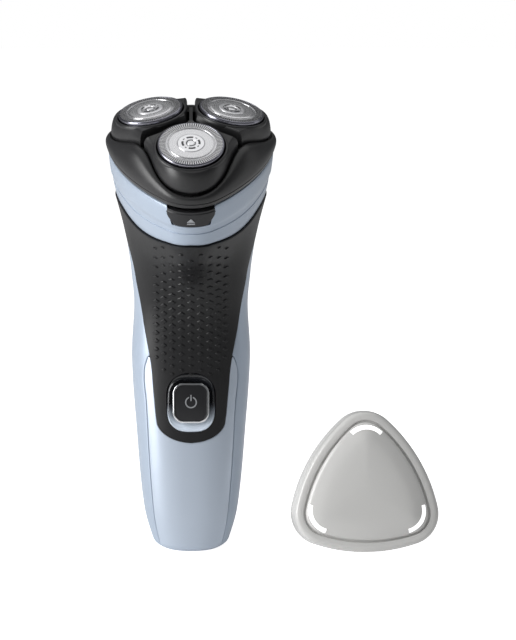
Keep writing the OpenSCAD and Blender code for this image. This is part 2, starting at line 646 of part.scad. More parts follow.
function petal_ring(inset) = let (end = petal_end(inset)) concat([[0, -side_gap(inset) / sin(60)]],
    [for (a = steps(-end, end, 30)) polar(a, line_radius(a) - inset)]);

module guard(k) {
    color([0.55, 0.55, 0.57]) at_unit(k) difference() {
        translate([0, 0, -guard_h]) cylinder(r = guard_r, h = guard_h, $fn = 128);
        translate([0, 0, -guard_h - 1]) cylinder(r = guard_r - 0.8, h = guard_h + 0.5, $fn = 128);
        translate([0, 0, -1]) cylinder(r = 4.9, h = 2, $fn = 96);
        for (i = [0:slot_count - 1]) rotate([0, 0, i * 360 / slot_count]) translate([-0.2, 8.7, -1])
            cube([0.4, 2, 2]);
    }
}
module guard_hub(k) {
    color([0.9, 0.9, 0.92]) at_unit(k) {
        translate([0, 0, -0.5]) cylinder(r = 4.8, h = 0.8, $fn = 96);
        translate([0, 0, -0.75]) cylinder(r = 6, h = 0.22, $fn = 96);
    }
}
module cutter(k) {
    color([0.75, 0.76, 0.78]) at_unit(k) {
        translate([0, 0, -2.2]) difference() {
            cylinder(r = 10.6, h = 0.7, $fn = 96);
            translate([0, 0, -1]) cylinder(r = 8.2, h = 3, $fn = 96);
        }
        for (i = [0:blade_count - 1]) rotate([0, 0, i * 360 / blade_count]) translate([-0.25, 8.6, -1.55])
            cube([0.5, 1.9, 0.75]);
    }
}
module cutter_carrier(k) {
    color([0.15, 0.3, 0.6]) at_unit(k) difference() {
        union() {
            translate([0, 0, -2.6]) cylinder(r = 8.15, h = 1.3, $fn = 96);
            translate([0, 0, -9.6]) cylinder(r = 5, h = 7.2, $fn = 64);
        }
        translate([0, 0, -12]) cylinder(r = 4, h = 8, $fn = 64);
    }
}

/* Travel cap */
cap_levels = [[0, 0], [7, 0.5], [cap_h - 6, 1.3], [cap_h - 3, 2.6], [cap_h - 1.4, 4.6], [cap_h - 0.5, 7.5],
    [cap_h, 10.6]];
function cap_ring(z, d) = [for (k = [0:71]) concat(polar(k * 5 + 180, cap_outline(k * 5, d)), z)];
function cap_outline(a, d) =
    let (c = 0.318 * cap_w, r = 0.225 * cap_w - d, mid = 0.428 * cap_w, kk = c / 2 - mid, q = c * sin(60),
        rs = (pow(0.225 * cap_w, 2) - pow(kk, 2) - pow(q, 2)) / (2 * (kk + 0.225 * cap_w)),
        back = rs - mid, m = off_corner(a), v = [c + back / 2, back * sin(60)],
        touch = [c, 0] + v * r / norm(v))
    m < atan2(touch[1], touch[0])
        ? c * cos(m) + sqrt(max(0, pow(r, 2) - pow(c * sin(m), 2)))
        : sqrt(pow(rs - d, 2) - pow(back * sin(60 - m), 2)) - back * cos(60 - m);
module travel_cap() {
    color([0.75, 0.75, 0.75, 0.6]) at_cap() difference() {
        translate([0, 0, -cap_h / 2]) difference() {
            stack([for (l = cap_levels) cap_ring(l[0], l[1])]);
            stack([for (l = cap_levels) cap_ring(l[0] - (l[0] > 0 ? cap_t : 1), l[1] + cap_t)]);
        }
        for (k = [0:2]) rotate([0, 0, 120 * k]) intersection() {
            translate([0, slot_at, 0]) difference() {
                cylinder(r = slot_out, h = 30, $fn = 64);
                translate([0, 0, -1]) cylinder(r = slot_in, h = 32, $fn = 64);
            }
            translate([-10, slot_at + slot_out * 0.62, 0]) cube([20, 10, 30]);
        }
    }
}

rear_housing();
front_panel();
grip_panel();
collar();
base_plate();
charge_socket();
charge_pins();
battery();
chassis();
circuit_board();
tact_switch();
button_surround();
button_seal();
motor_can();
motor_mount();
gear_plate();
plate_screws();
chamber_floor();
chamber_seal();
spindle_seals();
hinge_bracket();
hinge_pin();
motor_shaft();
motor_pinion();
drive_gear(0);  // drive_gear_front
drive_gear(1);  // drive_gear_right
drive_gear(2);  // drive_gear_left
drive_spindle(0);  // drive_spindle_front
drive_spindle(1);  // drive_spindle_right
drive_spindle(2);  // drive_spindle_left
power_button();
button_trim();
power_icon();
release_button();
release_icon();
head_skirt();
petal_rib();
head_carrier();
retaining_frame();
hinge_lug();
petal(0);  // petal_front
petal(1);  // petal_right
petal(2);  // petal_left
guard(0);  // guard_front
guard(1);  // guard_right
guard(2);  // guard_left
guard_hub(0);  // guard_hub_front
guard_hub(1);  // guard_hub_right
guard_hub(2);  // guard_hub_left
cutter(0);  // cutter_front
cutter(1);  // cutter_right
cutter(2);  // cutter_left
cutter_carrier(0);  // cutter_carrier_front
cutter_carrier(1);  // cutter_carrier_right
cutter_carrier(2);  // cutter_carrier_left
travel_cap();
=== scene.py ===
"""Looks of a three-head rotary shaver with its travel cap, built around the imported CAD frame.

Shapes are worked out in millimetres, in the part's own terms, and become metres where a mesh is made.
"""

import logging
import math
from collections.abc import Callable, Sequence
from dataclasses import dataclass, field
from enum import Enum

import bmesh
import bpy
from mathutils import Matrix, Vector


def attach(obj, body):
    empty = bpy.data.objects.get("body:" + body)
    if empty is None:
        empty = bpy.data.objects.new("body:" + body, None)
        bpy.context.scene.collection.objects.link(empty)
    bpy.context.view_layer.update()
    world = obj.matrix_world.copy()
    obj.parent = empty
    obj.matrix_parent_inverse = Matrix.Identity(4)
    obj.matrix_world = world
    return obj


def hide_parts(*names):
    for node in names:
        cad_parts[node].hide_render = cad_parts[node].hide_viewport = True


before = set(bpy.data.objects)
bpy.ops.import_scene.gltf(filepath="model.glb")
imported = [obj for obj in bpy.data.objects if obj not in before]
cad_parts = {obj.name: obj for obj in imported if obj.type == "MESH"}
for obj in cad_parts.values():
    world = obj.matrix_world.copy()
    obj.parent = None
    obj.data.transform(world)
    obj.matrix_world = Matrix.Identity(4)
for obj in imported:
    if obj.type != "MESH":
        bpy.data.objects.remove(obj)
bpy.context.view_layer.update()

MM = 0.001
CORNERS = ("front", "right", "left")
log = logging.getLogger("shaver")

Table = Sequence[Sequence[float]]
Colour = tuple[float, float, float]
Mesh = bmesh.types.BMesh
Piece = bpy.types.Object
Tree = bpy.types.NodeTree
Socket = bpy.types.NodeSocket


# --- Plain arithmetic --------------------------------------------------------------------------


def clamp(value: float, low: float = 0.0, high: float = 1.0) -> float:
    """Returns the value kept between low and high."""
    return min(high, max(low, value))


def smooth(t: float) -> float:
    """Returns an eased step from 0 to 1."""
    u = clamp(t)
    return u * u * (3 - 2 * u)


def lerp(a: float, b: float, t: float) -> float:
    """Returns the value at share t of the way from a to b."""
    return a + (b - a) * t


def steps(a: float, b: float, count: int) -> list[float]:
    """Returns count + 1 even steps from a to b."""
    return [lerp(a, b, i / count) for i in range(count + 1)]


def sin_deg(angle: float) -> float:
    """Returns the sine of an angle in degrees."""
    return math.sin(math.radians(angle))


def cos_deg(angle: float) -> float:
    """Returns the cosine of an angle in degrees."""
    return math.cos(math.radians(angle))


def polar(angle: float, radius: float) -> tuple[float, float]:
    """Returns the point at an angle in degrees from -Y towards +X."""
    return radius * sin_deg(angle), -radius * cos_deg(angle)


def curve(rows: Table, x: float, column: int = 1) -> float:
    """Reads a smooth curve through a table.

    Args:
        rows: Rows whose first value is the place along the curve.
        x: Place to read.
        column: Column to read.

    Returns:
        The value of the column at x.
    """
    last = len(rows) - 1
    i = 0
    while i < last - 1 and x >= rows[i + 1][0]:
        i += 1

    def slope(n: int) -> float:
        """Returns the curve's slope at row n."""
        low, high = max(n - 1, 0), min(n + 1, last)
        return (rows[high][column] - rows[low][column]) / (rows[high][0] - rows[low][0])

    step = rows[i + 1][0] - rows[i][0]
    u = (x - rows[i][0]) / step
    return (
        (2 * u**3 - 3 * u**2 + 1) * rows[i][column]
        + (u**3 - 2 * u**2 + u) * step * slope(i)
        + (3 * u**2 - 2 * u**3) * rows[i + 1][column]
        + (u**3 - u**2) * step * slope(i + 1)
    )


# --- Forms of the part --------------------------------------------------------------------------


@dataclass(frozen=True)
class Places:
    """Frames of the leaning handle, the head, the shaving units and the cap, in millimetres."""

    lean: float = 9.0
    head_tilt: float = 23.0
    head_y: float = -14.3916
    head_z: float = 162.4448
    unit_at: float = 17.0
    unit_tilt: float = 11.0
    button_s: float = 55.0
    cap_at: tuple[float, float, float] = (65.0, -13.0, 25.06)
    cap_lean: float = 17.0

    def at_lean(self, s: float = 0.0) -> Matrix:
        """Returns the frame of the straight lower handle, s along it."""
        return Matrix.Rotation(math.radians(-self.lean), 4, "X") @ Matrix.Translation((0, 0, s))

    def at_head(self) -> Matrix:
        """Returns the frame of the shaving plane."""
        turn = Matrix.Rotation(math.radians(self.head_tilt), 4, "X")
        return Matrix.Translation((0, self.head_y, self.head_z)) @ turn

    def at_corner(self, k: int) -> Matrix:
        """Returns the head's frame turned to corner k."""
        return self.at_head() @ Matrix.Rotation(math.radians(120 * k), 4, "Z")

    def at_unit(self, k: int) -> Matrix:
        """Returns the frame of shaving unit k, with the guard's face at its origin."""
        return self.at_corner(k) @ self.unit_in_corner()

    def unit_in_corner(self) -> Matrix:
        """Returns a shaving unit's frame within its corner's frame."""
        tilt = Matrix.Rotation(math.radians(self.unit_tilt), 4, "X")
        return Matrix.Translation((0, -self.unit_at, 0)) @ tilt

    def at_cap(self) -> Matrix:
        """Returns the frame of the travel cap, whose dome points to its own +Z."""
        turn = Matrix.Rotation(math.radians(90 - self.cap_lean), 4, "X")
        return Matrix.Translation(self.cap_at) @ turn


PLACES = Places()


@dataclass(frozen=True)
class RoundedTriangle:
    """Rounded triangle in polar form, with a corner at angle 0."""

    corner_at: float
    corner_r: float
    side_mid: float

    def radius(self, angle: float, inset: float = 0.0) -> float:
        """Finds the outline's distance from the middle.

        Args:
            angle: Angle in degrees from the first corner.
            inset: Distance by which the outline is drawn in.

        Returns:
            The distance in millimetres.
        """
        k = self.corner_at / 2 - self.side_mid
        q = self.corner_at * sin_deg(60)
        side_r = (self.corner_r**2 - k**2 - q**2) / (2 * (k + self.corner_r))
        back = side_r - self.side_mid
        m = abs(((angle % 120) + 180) % 120 - 60)
        r = self.corner_r - inset
        v = Vector((self.corner_at + back / 2, back * sin_deg(60)))
        touch = Vector((self.corner_at, 0)) + v * (r / v.length)
        if m < math.degrees(math.atan2(touch.y, touch.x)):
            rest = max(0.0, r**2 - (self.corner_at * sin_deg(m)) ** 2)
            return self.corner_at * cos_deg(m) + math.sqrt(rest)
        reach = (side_r - inset) ** 2 - (back * sin_deg(60 - m)) ** 2
        return math.sqrt(reach) - back * cos_deg(60 - m)


@dataclass(frozen=True)
class HandleForm:
    """The handle's skin, from the base to the collar under the head."""

    straight_l: float = 65.0
    bend_l: float = 58.0
    neck_l: float = 45.0
    shell_t: float = 2.2
    grip_proud: float = 0.25
    seam: float = 0.5
    section_n: float = 2.35
    blend_from: float = 97.0
    collar_top: float = -17.7
    collar_low: float = -34.0
    flare_from: float = 112.0
    end_s: float = 133.6
    panel_top: float = 73.4
    tongue_end: float = 40.0
    tongue_full: float = 48.0
    tongue_angle: float = 43.3
    sections: Table = (
        (0, 13.8, 12.6, 12.6), (14, 17.8, 14, 15), (45, 20.8, 15.4, 17.4), (72, 22.5, 16.2, 19),
        (98, 21.7, 15.6, 19.4), (122, 27.2, 19, 21.5), (140, 28, 21, 23),
    )
    grip_edge: Table = (
        (46, 42.5), (50, 44), (56, 45), (62, 46), (68, 47), (74, 49.5), (80, 53.5), (86, 58), (94, 63),
        (100, 66), (106, 69), (111, 72), (116, 79), (120, 92), (134, 118),
    )
    panel_edge: Table = (
        (0, 52), (6, 54), (14, 55), (37, 56), (55, 56), (63, 57.5), (68, 56.5), (72, 53), (74, 51),
    )
    collar_edge: Table = (
        (0, 134.6), (15, 133.5), (25, 132.4), (37, 131.4), (53, 131), (71, 131.5), (91, 132.5),
        (130, 133), (180, 133),
    )
    head: RoundedTriangle = RoundedTriangle(19.8, 14.0, 26.5)

    @property
    def head_s(self) -> float:
        """Returns the distance along the spine to the shaving plane."""
        return self.straight_l + self.bend_l + self.neck_l

    def neck_inset(self, level: float) -> float:
        """Returns how far the neck is drawn in from the head's outline at a level."""
        u = (self.collar_top - level) / (self.collar_top - self.collar_low)
        return min(10.0, 1 + 1.9 * max(0.0, u) ** 1.6)

    def radius(self, s: float, angle: float, depth: float) -> float:
        """Finds the skin's distance from the spine.

        Args:
            s: Distance along the spine.
            angle: Angle in degrees from the front towards +X.
            depth: Distance below the skin.

        Returns:
            The distance in millimetres.
        """
        blend = smooth((s - self.blend_from) / (self.head_s + self.collar_low - self.blend_from))
        wide = curve(self.sections, s, 1) - depth
        deep = curve(self.sections, s, 2 if cos_deg(angle) > 0 else 3) - depth
        n = self.section_n
        oval = (abs(sin_deg(angle) / wide) ** n + abs(cos_deg(angle) / deep) ** n) ** (-1 / n)
        if blend <= 0:
            return oval
        return lerp(oval, self.head.radius(angle, self.neck_inset(s - self.head_s) + depth), blend)

    def spine_angle(self, s: float) -> float:
        """Returns the spine's forward angle in degrees at s."""
        lean, tilt = PLACES.lean, PLACES.head_tilt
        if s < self.straight_l:
            return -lean
        return min(tilt, -lean + (s - self.straight_l) / self.bend_l * (lean + tilt))

    def spine(self, s: float) -> tuple[float, float]:
        """Returns the spine's place in the middle plane, as Y and Z."""
        lean, tilt = PLACES.lean, PLACES.head_tilt
        if s < self.straight_l:
            return s * sin_deg(lean), s * cos_deg(lean)
        r = self.bend_l / math.radians(lean + tilt)
        t = self.spine_angle(s)
        y = self.straight_l * sin_deg(lean) + r * (cos_deg(t) - cos_deg(lean))
        z = self.straight_l * cos_deg(lean) + r * (sin_deg(t) + sin_deg(lean))
        over = max(0.0, s - self.straight_l - self.bend_l)
        return y - over * sin_deg(tilt), z + over * cos_deg(tilt)

    def skin(self, s: float, angle: float, depth: float = 0.0) -> Vector:
        """Finds a point on the handle.

        Args:
            s: Distance along the spine.
            angle: Angle in degrees from the front towards +X.
            depth: Distance below the skin.

        Returns:
            The point in millimetres.
        """
        y, z = self.spine(s)
        t = self.spine_angle(s) * smooth(s / 26)
        px, py = polar(angle, self.radius(s, angle, depth))
        return Vector((px, y + py * cos_deg(t), z + py * sin_deg(t)))

    def collar_s(self, angle: float) -> float:
        """Returns where the collar's lower edge lies along the spine, at an angle."""
        return curve(self.collar_edge, 180 - abs(angle % 360 - 180))

    def row_s(self, s: float, angle: float) -> float:
        """Returns s, bent near the top so that the last row follows the collar's lower edge."""
        if s < self.flare_from:
            return s
        share = (s - self.flare_from) / (self.end_s - self.flare_from)
        return lerp(self.flare_from, self.collar_s(angle) - 0.4, share)

    def collar_level(self, level: float, angle: float) -> float:
        """Returns a level of the collar, bent so that the lowest one follows its edge."""
        if level > -24:
            return level
        return lerp(-24, self.collar_s(angle) - self.head_s, (level + 24) / (self.collar_low + 24))

    def base_round(self, s: float) -> float:
        """Returns how far the skin is drawn in by the rounding at the base."""
        return 0.0 if s > 2.7 else 2.4 * (1 - s / 2.8) ** 2

    def grip_angle(self, s: float) -> float:
        """Returns the angle of the grip's edge, which closes in a round tongue."""
        if s >= self.tongue_full:
            return curve(self.grip_edge, s)
        u = clamp((self.tongue_full - s) / (self.tongue_full - self.tongue_end))
        return self.tongue_angle * math.sqrt(1 - u**2)

    def housing_angle(self, s: float) -> float:
        """Returns the angle at which the rear housing begins."""
        if s > self.panel_top:
            return curve(self.grip_edge, s)
        return max(curve(self.panel_edge, s), self.grip_angle(s) if s > 60 else 0.0)

    def angle_at(self, s: float, x: float, depth: float) -> float:
        """Returns the angle at which the skin lies x from the middle, at s."""
        angle = 0.0
        for _ in range(6):
            angle = math.degrees(math.asin(clamp(x / self.radius(s, angle, depth), -1, 1)))
        return angle


FORM = HandleForm()


# --- Making meshes --------------------------------------------------------------------------------


def woven(
    columns: Sequence[float], rows: Sequence[float], place: Callable[[float, float], Sequence[float]]
) -> Mesh:
    """Makes a sheet from a grid, and joins any rims that meet.

    Args:
        columns: Values across the grid.
        rows: Values along the grid.
        place: Gives the point, in millimetres, for a column's and a row's value.

    Returns:
        The sheet, in metres.
    """
    mesh = bmesh.new()
    across, along = len(columns) - 1, len(rows) - 1
    bmesh.ops.create_grid(mesh, x_segments=across, y_segments=along, size=0.5)
    for vert in mesh.verts:
        column = columns[round((vert.co.x + 0.5) * across)]
        row = rows[round((vert.co.y + 0.5) * along)]
        vert.co = Vector(place(column, row)) * MM
    bmesh.ops.remove_doubles(mesh, verts=mesh.verts, dist=1e-6)
    return mesh


def closed_up(mesh: Mesh) -> Mesh:
    """Merges a mesh's doubled vertices, fills its holes and turns its faces outwards."""
    bmesh.ops.remove_doubles(mesh, verts=mesh.verts, dist=1e-7)
    bmesh.ops.holes_fill(mesh, edges=[e for e in mesh.edges if e.is_boundary], sides=0)
    bmesh.ops.recalc_face_normals(mesh, faces=mesh.faces)
    return facing_out(mesh)


def facing_out(mesh: Mesh) -> Mesh:
    """Turns a closed mesh's faces outwards, if they face in."""
    if mesh.calc_volume(signed=True) < 0:
        bmesh.ops.reverse_faces(mesh, faces=mesh.faces)
    return mesh


def turned(profile: Sequence[tuple[float, float]], ring: bool = True, count: int = 96) -> Mesh:
    """Spins a profile round Z.

    Args:
        profile: Radius and height of each corner, in millimetres.
        ring: Whether the profile closes on itself, and doesn't start and end on the axis.
        count: Steps round the axis.

    Returns:
        A closed mesh in metres, whose "ring" values are each vertex's radius in millimetres.
    """
    mesh = bmesh.new()
    verts = [mesh.verts.new((r * MM, 0, z * MM)) for r, z in profile]
    ends = verts[1:] + verts[:1] if ring else verts[1:]
    edges = [mesh.edges.new(pair) for pair in zip(verts, ends)]
    bmesh.ops.spin(
        mesh, geom=verts + edges, cent=(0, 0, 0), axis=(0, 0, 1), angle=math.tau, steps=count,
        use_merge=True,
    )
    bmesh.ops.remove_doubles(mesh, verts=mesh.verts, dist=1e-6)
    bmesh.ops.recalc_face_normals(mesh, faces=mesh.faces)
    return ringed(mesh)


def ringed(mesh: Mesh) -> Mesh:
    """Writes each vertex's distance from the Z axis, in millimetres, as "ring"."""
    layer = mesh.verts.layers.float.get("ring") or mesh.verts.layers.float.new("ring")
    for vert in mesh.verts:
        vert[layer] = math.hypot(vert.co.x, vert.co.y) / MM
    return mesh


def rounded_plate(width: float, height: float, corner: float, low_y: float, high_y: float) -> Mesh:
    """Makes a plate with rounded corners that stands on XZ.

    Args:
        width: Size along X.
        height: Size along Z.
        corner: Radius of the corners.
        low_y: Its front face.
        high_y: Its back face.

    Returns:
        The plate in metres.
    """
    mesh = bmesh.new()
    bmesh.ops.create_grid(mesh, x_segments=1, y_segments=1, size=0.5)
    bmesh.ops.scale(mesh, vec=(width * MM, height * MM, 1), verts=mesh.verts)
    bmesh.ops.bevel(
        mesh, geom=mesh.verts[:], affect="VERTICES", offset=corner * MM, segments=14, profile=0.5,
        material=-1,
    )
    made = bmesh.ops.extrude_face_region(mesh, geom=mesh.faces[:])
    top = [v for v in made["geom"] if isinstance(v, bmesh.types.BMVert)]
    bmesh.ops.translate(mesh, vec=(0, 0, (high_y - low_y) * MM), verts=top)
    turn = Matrix.Rotation(math.radians(90), 4, "X")
    mesh.transform(Matrix.Translation((0, high_y * MM, 0)) @ turn)
    bmesh.ops.recalc_face_normals(mesh, faces=mesh.faces)
    return mesh


def softened(mesh: Mesh, width: float, segments: int = 3, angle: float = 40) -> Mesh:
    """Rounds a mesh's sharp edges.

    Args:
        mesh: The mesh to change.
        width: Width of the rounding in millimetres.
        segments: Faces across it.
        angle: Edges that turn more than this many degrees are rounded.

    Returns:
        The same mesh.
    """
    sharp = [e for e in mesh.edges if e.is_manifold and e.calc_face_angle(0) > math.radians(angle)]
    bmesh.ops.bevel(
        mesh, geom=sharp, affect="EDGES", offset=width * MM, segments=segments, profile=0.5,
        material=-1, clamp_overlap=True,
    )
    return mesh


def set_in(mesh: Mesh, where: Matrix) -> Mesh:
    """Moves a mesh into a frame whose lengths are in millimetres."""
    placed = where.copy()
    placed.translation = where.translation * MM
    mesh.transform(placed)
    return mesh


def joined(meshes: Sequence[Mesh]) -> Mesh:
    """Puts several meshes into one and frees them."""
    whole = bmesh.new()
    for part in meshes:
        data = bpy.data.meshes.new("part")
        part.to_mesh(data)
        part.free()
        whole.from_mesh(data)
        bpy.data.meshes.remove(data)
    return whole


def as_object(mesh: Mesh, name: str) -> Piece:
    """Makes an object at the origin from a mesh, and frees the mesh."""
    data = bpy.data.meshes.new(name)
    mesh.to_mesh(data)
    mesh.free()
    made = bpy.data.objects.new(name, data)
    bpy.context.scene.collection.objects.link(made)
    return made


def settled(made: Piece) -> Piece:
    """Applies an object's modifiers to its mesh."""
    bpy.context.view_layer.update()
    seen = made.evaluated_get(bpy.context.evaluated_depsgraph_get())
    old, made_mesh = made.data, bpy.data.meshes.new_from_object(seen)
    made.modifiers.clear()
    made.data = made_mesh
    bpy.data.meshes.remove(old)
    return made


def thickened(made: Piece, wall: float, edge: float) -> None:
    """Gives a sheet a wall on its inner side, with rounded rims.

    Args:
        made: The sheet.
        wall: Thickness in millimetres.
        edge: Width of the rims' rounding in millimetres.
    """
    solid = made.modifiers.new("wall", "SOLIDIFY")
    solid.thickness, solid.offset = wall * MM, -1
    bevel = made.modifiers.new("rim", "BEVEL")
    bevel.width, bevel.segments, bevel.limit_method = edge * MM, 3, "ANGLE"
    bevel.angle_limit = math.radians(50)
    settled(made)


def cut_with(made: Piece, cutter: Mesh) -> None:
    """Cuts a closed shape out of an object.

    Args:
        made: The object to cut.
        cutter: The shape to take away; it is freed.
    """
    tool = as_object(cutter, "cutter")
    cut = made.modifiers.new("cut", "BOOLEAN")
    cut.operation, cut.solver, cut.object = "DIFFERENCE", "EXACT", tool
    settled(made)
    data = tool.data
    bpy.data.objects.remove(tool)
    bpy.data.meshes.remove(data)


# --- Finishes -------------------------------------------------------------------------------------


class Pattern(Enum):
    """How a surface's fine relief runs."""

    MOULDED = "moulded_grain"
    TURNED = "turned_rings"


def added(
    tree: Tree, kind: str, inputs: dict[str | int, object] | None = None, **settings: object
) -> bpy.types.Node:
    """Adds a shader node.

    Args:
        tree: The tree that takes it.
        kind: The node's type.
        inputs: A constant, or the socket to link, for each input by name or number.
        settings: The node's own properties.

    Returns:
        The new node.
    """
    node = tree.nodes.new(kind)
    for name, value in settings.items():
        setattr(node, name, value)
    for key, value in (inputs or {}).items():
        if isinstance(value, Socket):
            tree.links.new(value, node.inputs[key])
        else:
            node.inputs[key].default_value = value
    return node


class GroupMaker:
    """Builds the shader node groups that the finishes share, each once."""

    @staticmethod
    def started(name: str, inputs: dict[str, str], outputs: dict[str, str]) -> Tree:
        """Starts a node group with named sockets.

        Args:
            name: The group's name.
            inputs: Socket type by input name.
            outputs: Socket type by output name.

        Returns:
            The new group, with its input and output nodes.
        """
        tree = bpy.data.node_groups.new(name, "ShaderNodeTree")
        for direction, sockets in (("INPUT", inputs), ("OUTPUT", outputs)):
            for label, kind in sockets.items():
                tree.interface.new_socket(label, in_out=direction, socket_type=kind)
        tree.nodes.new("NodeGroupInput").name = "in"
        tree.nodes.new("NodeGroupOutput").name = "out"
        return tree

    def relief(self, pattern: Pattern) -> Tree:
        """Returns the group for a pattern's height and roughness, made once.

        Args:
            pattern: How the relief runs.

        Returns:
            A group with Vector, Scale, Roughness and Spread inputs, and Height and Roughness outputs.
        """
        found = bpy.data.node_groups.get(pattern.value)
        if found:
            return found
        rings = pattern is Pattern.TURNED
        real = "NodeSocketFloat"
        tree = self.started(
            pattern.value,
            {"Vector": "NodeSocketVector", "Scale": real, "Roughness": real, "Spread": real},
            {"Height": real, "Roughness": real},
        )
        given, result = tree.nodes["in"].outputs, tree.nodes["out"].inputs
        where = given["Vector"]
        fine = added(
            tree, "ShaderNodeTexNoise",
            {"Detail": 5.0 if rings else 3.0, "Scale": given["Scale"], "W" if rings else "Vector": where},
            noise_dimensions="1D" if rings else "3D",
        )
        slow = added(tree, "ShaderNodeTexNoise",
                     {"Scale": 90.0, "Detail": 4.0} | ({} if rings else {"Vector": where}))
        both = added(tree, "ShaderNodeMath", {0: fine.outputs["Fac"], 1: slow.outputs["Fac"]})
        even = added(tree, "ShaderNodeMath", {0: both.outputs[0], 1: 1.0}, operation="SUBTRACT")
        rough = added(tree, "ShaderNodeMath", {0: even.outputs[0], 1: given["Spread"], 2: given["Roughness"]},
                      operation="MULTIPLY_ADD")
        tree.links.new(fine.outputs["Fac"], result["Height"])
        tree.links.new(rough.outputs[0], result["Roughness"])
        return tree

    def tone(self) -> Tree:
        """Returns the group that drifts slowly between two colours, made once."""
        found = bpy.data.node_groups.get("slow_tone")
        if found:
            return found
        tree = self.started(
            "slow_tone",
            {"Vector": "NodeSocketVector", "Colour": "NodeSocketColor", "Shade": "NodeSocketColor"},
            {"Colour": "NodeSocketColor"},
        )
        given = tree.nodes["in"].outputs
        where = given["Vector"]
        drift = added(tree, "ShaderNodeTexNoise", {"Scale": 45.0, "Detail": 5.0, "Vector": where})
        speck = added(tree, "ShaderNodeTexNoise", {"Scale": 2600.0, "Vector": where})
        part = added(tree, "ShaderNodeMath", {0: speck.outputs["Fac"], 1: 0.4}, operation="MULTIPLY")
        share = added(tree, "ShaderNodeMath", {0: drift.outputs["Fac"], 1: 0.6, 2: part.outputs[0]},
                      operation="MULTIPLY_ADD")
        mix = added(
            tree, "ShaderNodeMix",
            {"Factor": share.outputs[0], "A": given["Colour"], "B": given["Shade"]},
            data_type="RGBA",
        )
        tree.links.new(mix.outputs["Result"], tree.nodes["out"].inputs["Colour"])
        return tree


@dataclass(frozen=True)
class Finish:
    """A surface finish: two near tones, a fine relief and how it shines.

    The grain is the relief's size and depth in millimetres; the optional span of heights, in millimetres,
    paints light and shade by height: across it the colour goes from the shade, below, to the colour, above.
    """

    name: str
    slot: str
    colour: Colour
    shade: Colour
    roughness: float = 0.4
    spread: float = 0.08
    grain: float = 0.3
    depth: float = 0.01
    pattern: Pattern = Pattern.MOULDED
    metallic: float = 0.0
    coat: float = 0.0
    coat_roughness: float = 0.1
    specular: float = 0.5
    painted_light_heights: tuple[float, float] | None = None

    def material(self) -> bpy.types.Material:
        """Returns the finish's material, made once."""
        found = bpy.data.materials.get(self.name)
        if found:
            return found
        made = bpy.data.materials.new(self.name)
        made.use_nodes = True
        made.diffuse_color = (*self.colour, 1)
        tree = made.node_tree
        shader = tree.nodes["Principled BSDF"].inputs
        for label, value in (
            ("Metallic", self.metallic), ("Coat Weight", self.coat), ("Coat Roughness", self.coat_roughness),
            ("Specular IOR Level", self.specular),
        ):
            shader[label].default_value = value
        where = added(tree, "ShaderNodeTexCoord").outputs["Object"]
        colours = {"Colour": (*self.colour, 1), "Shade": (*self.shade, 1)}
        groups = GroupMaker()
        if self.painted_light_heights:
            colour = self.painted_light_colour(tree, where)
        else:
            tone = added(tree, "ShaderNodeGroup", colours | {"Vector": where}, node_tree=groups.tone())
            colour = tone.outputs["Colour"]
        tree.links.new(colour, shader["Base Color"])
        if self.pattern is Pattern.TURNED:
            along = added(tree, "ShaderNodeAttribute", attribute_name="ring").outputs["Fac"]
            scale = 1 / self.grain
        else:
            along, scale = where, 1 / (self.grain * MM)
        relief = added(
            tree, "ShaderNodeGroup",
            {"Roughness": self.roughness, "Spread": self.spread, "Scale": scale, "Vector": along},
            node_tree=groups.relief(self.pattern),
        )
        tree.links.new(relief.outputs["Roughness"], shader["Roughness"])
        bump = added(tree, "ShaderNodeBump",
                     {"Distance": self.depth * MM, "Height": relief.outputs["Height"]})
        tree.links.new(bump.outputs["Normal"], shader["Normal"])
        return made

    def painted_light_colour(self, tree: Tree, where: Socket) -> Socket:
        """Adds painted light by height: a fade from the shade, below, to the colour, above.

        Args:
            tree: The material's tree.
            where: Its Object coordinates.

        Returns:
            The faded colour.
        """
        height = added(tree, "ShaderNodeSeparateXYZ", {0: where}).outputs["Z"]
        low, high = self.painted_light_heights
        span = added(
            tree, "ShaderNodeMapRange",
            {"From Min": low * MM, "From Max": high * MM, "Value": height},
            interpolation_type="SMOOTHSTEP",
        )
        mix = added(
            tree, "ShaderNodeMix",
            {"A": (*self.shade, 1), "B": (*self.colour, 1), "Factor": span.outputs["Result"]},
            data_type="RGBA",
        )
        return mix.outputs["Result"]


SHELL = Finish(
    "satin_blue_shell", "shell_blue", (0.43, 0.50, 0.60), (0.40, 0.47, 0.57), roughness=0.34,
    spread=0.05, grain=0.12, depth=0.004, metallic=0.25, coat=0.12, coat_roughness=0.3,
)
PANEL = Finish(
    "pearl_blue_panel", "panel_blue", (0.54, 0.61, 0.71), (0.51, 0.58, 0.68), roughness=0.3,
    spread=0.04, grain=0.12, depth=0.003, metallic=0.3, coat=0.15, coat_roughness=0.25,
)
RUBBER = Finish(
    "soft_black_rubber", "grip_rubber", (0.009, 0.009, 0.010), (0.006, 0.006, 0.007), roughness=0.42,
    spread=0.1, grain=0.22, depth=0.018, specular=0.42,
)
HEAD = Finish(
    "satin_black_head", "head_black", (0.021, 0.021, 0.022), (0.016, 0.016, 0.017), roughness=0.36,
    spread=0.08, grain=0.16, depth=0.008,
)
BUTTON = Finish(
    "satin_black_button", "button_black", (0.016, 0.016, 0.018), (0.012, 0.012, 0.014), roughness=0.3,
    spread=0.06, grain=0.14, depth=0.004,
)
CHROME = Finish(
    "bright_chrome", "chrome_trim", (0.86, 0.87, 0.89), (0.80, 0.81, 0.83), roughness=0.12,
    spread=0.05, grain=0.2, depth=0.001, metallic=1.0,
)
STEEL = Finish(
    "turned_steel", "shaver_steel", (0.76, 0.76, 0.77), (0.62, 0.62, 0.64), roughness=0.27,
    spread=0.16, grain=0.16, depth=0.02, pattern=Pattern.TURNED, metallic=1.0,
)
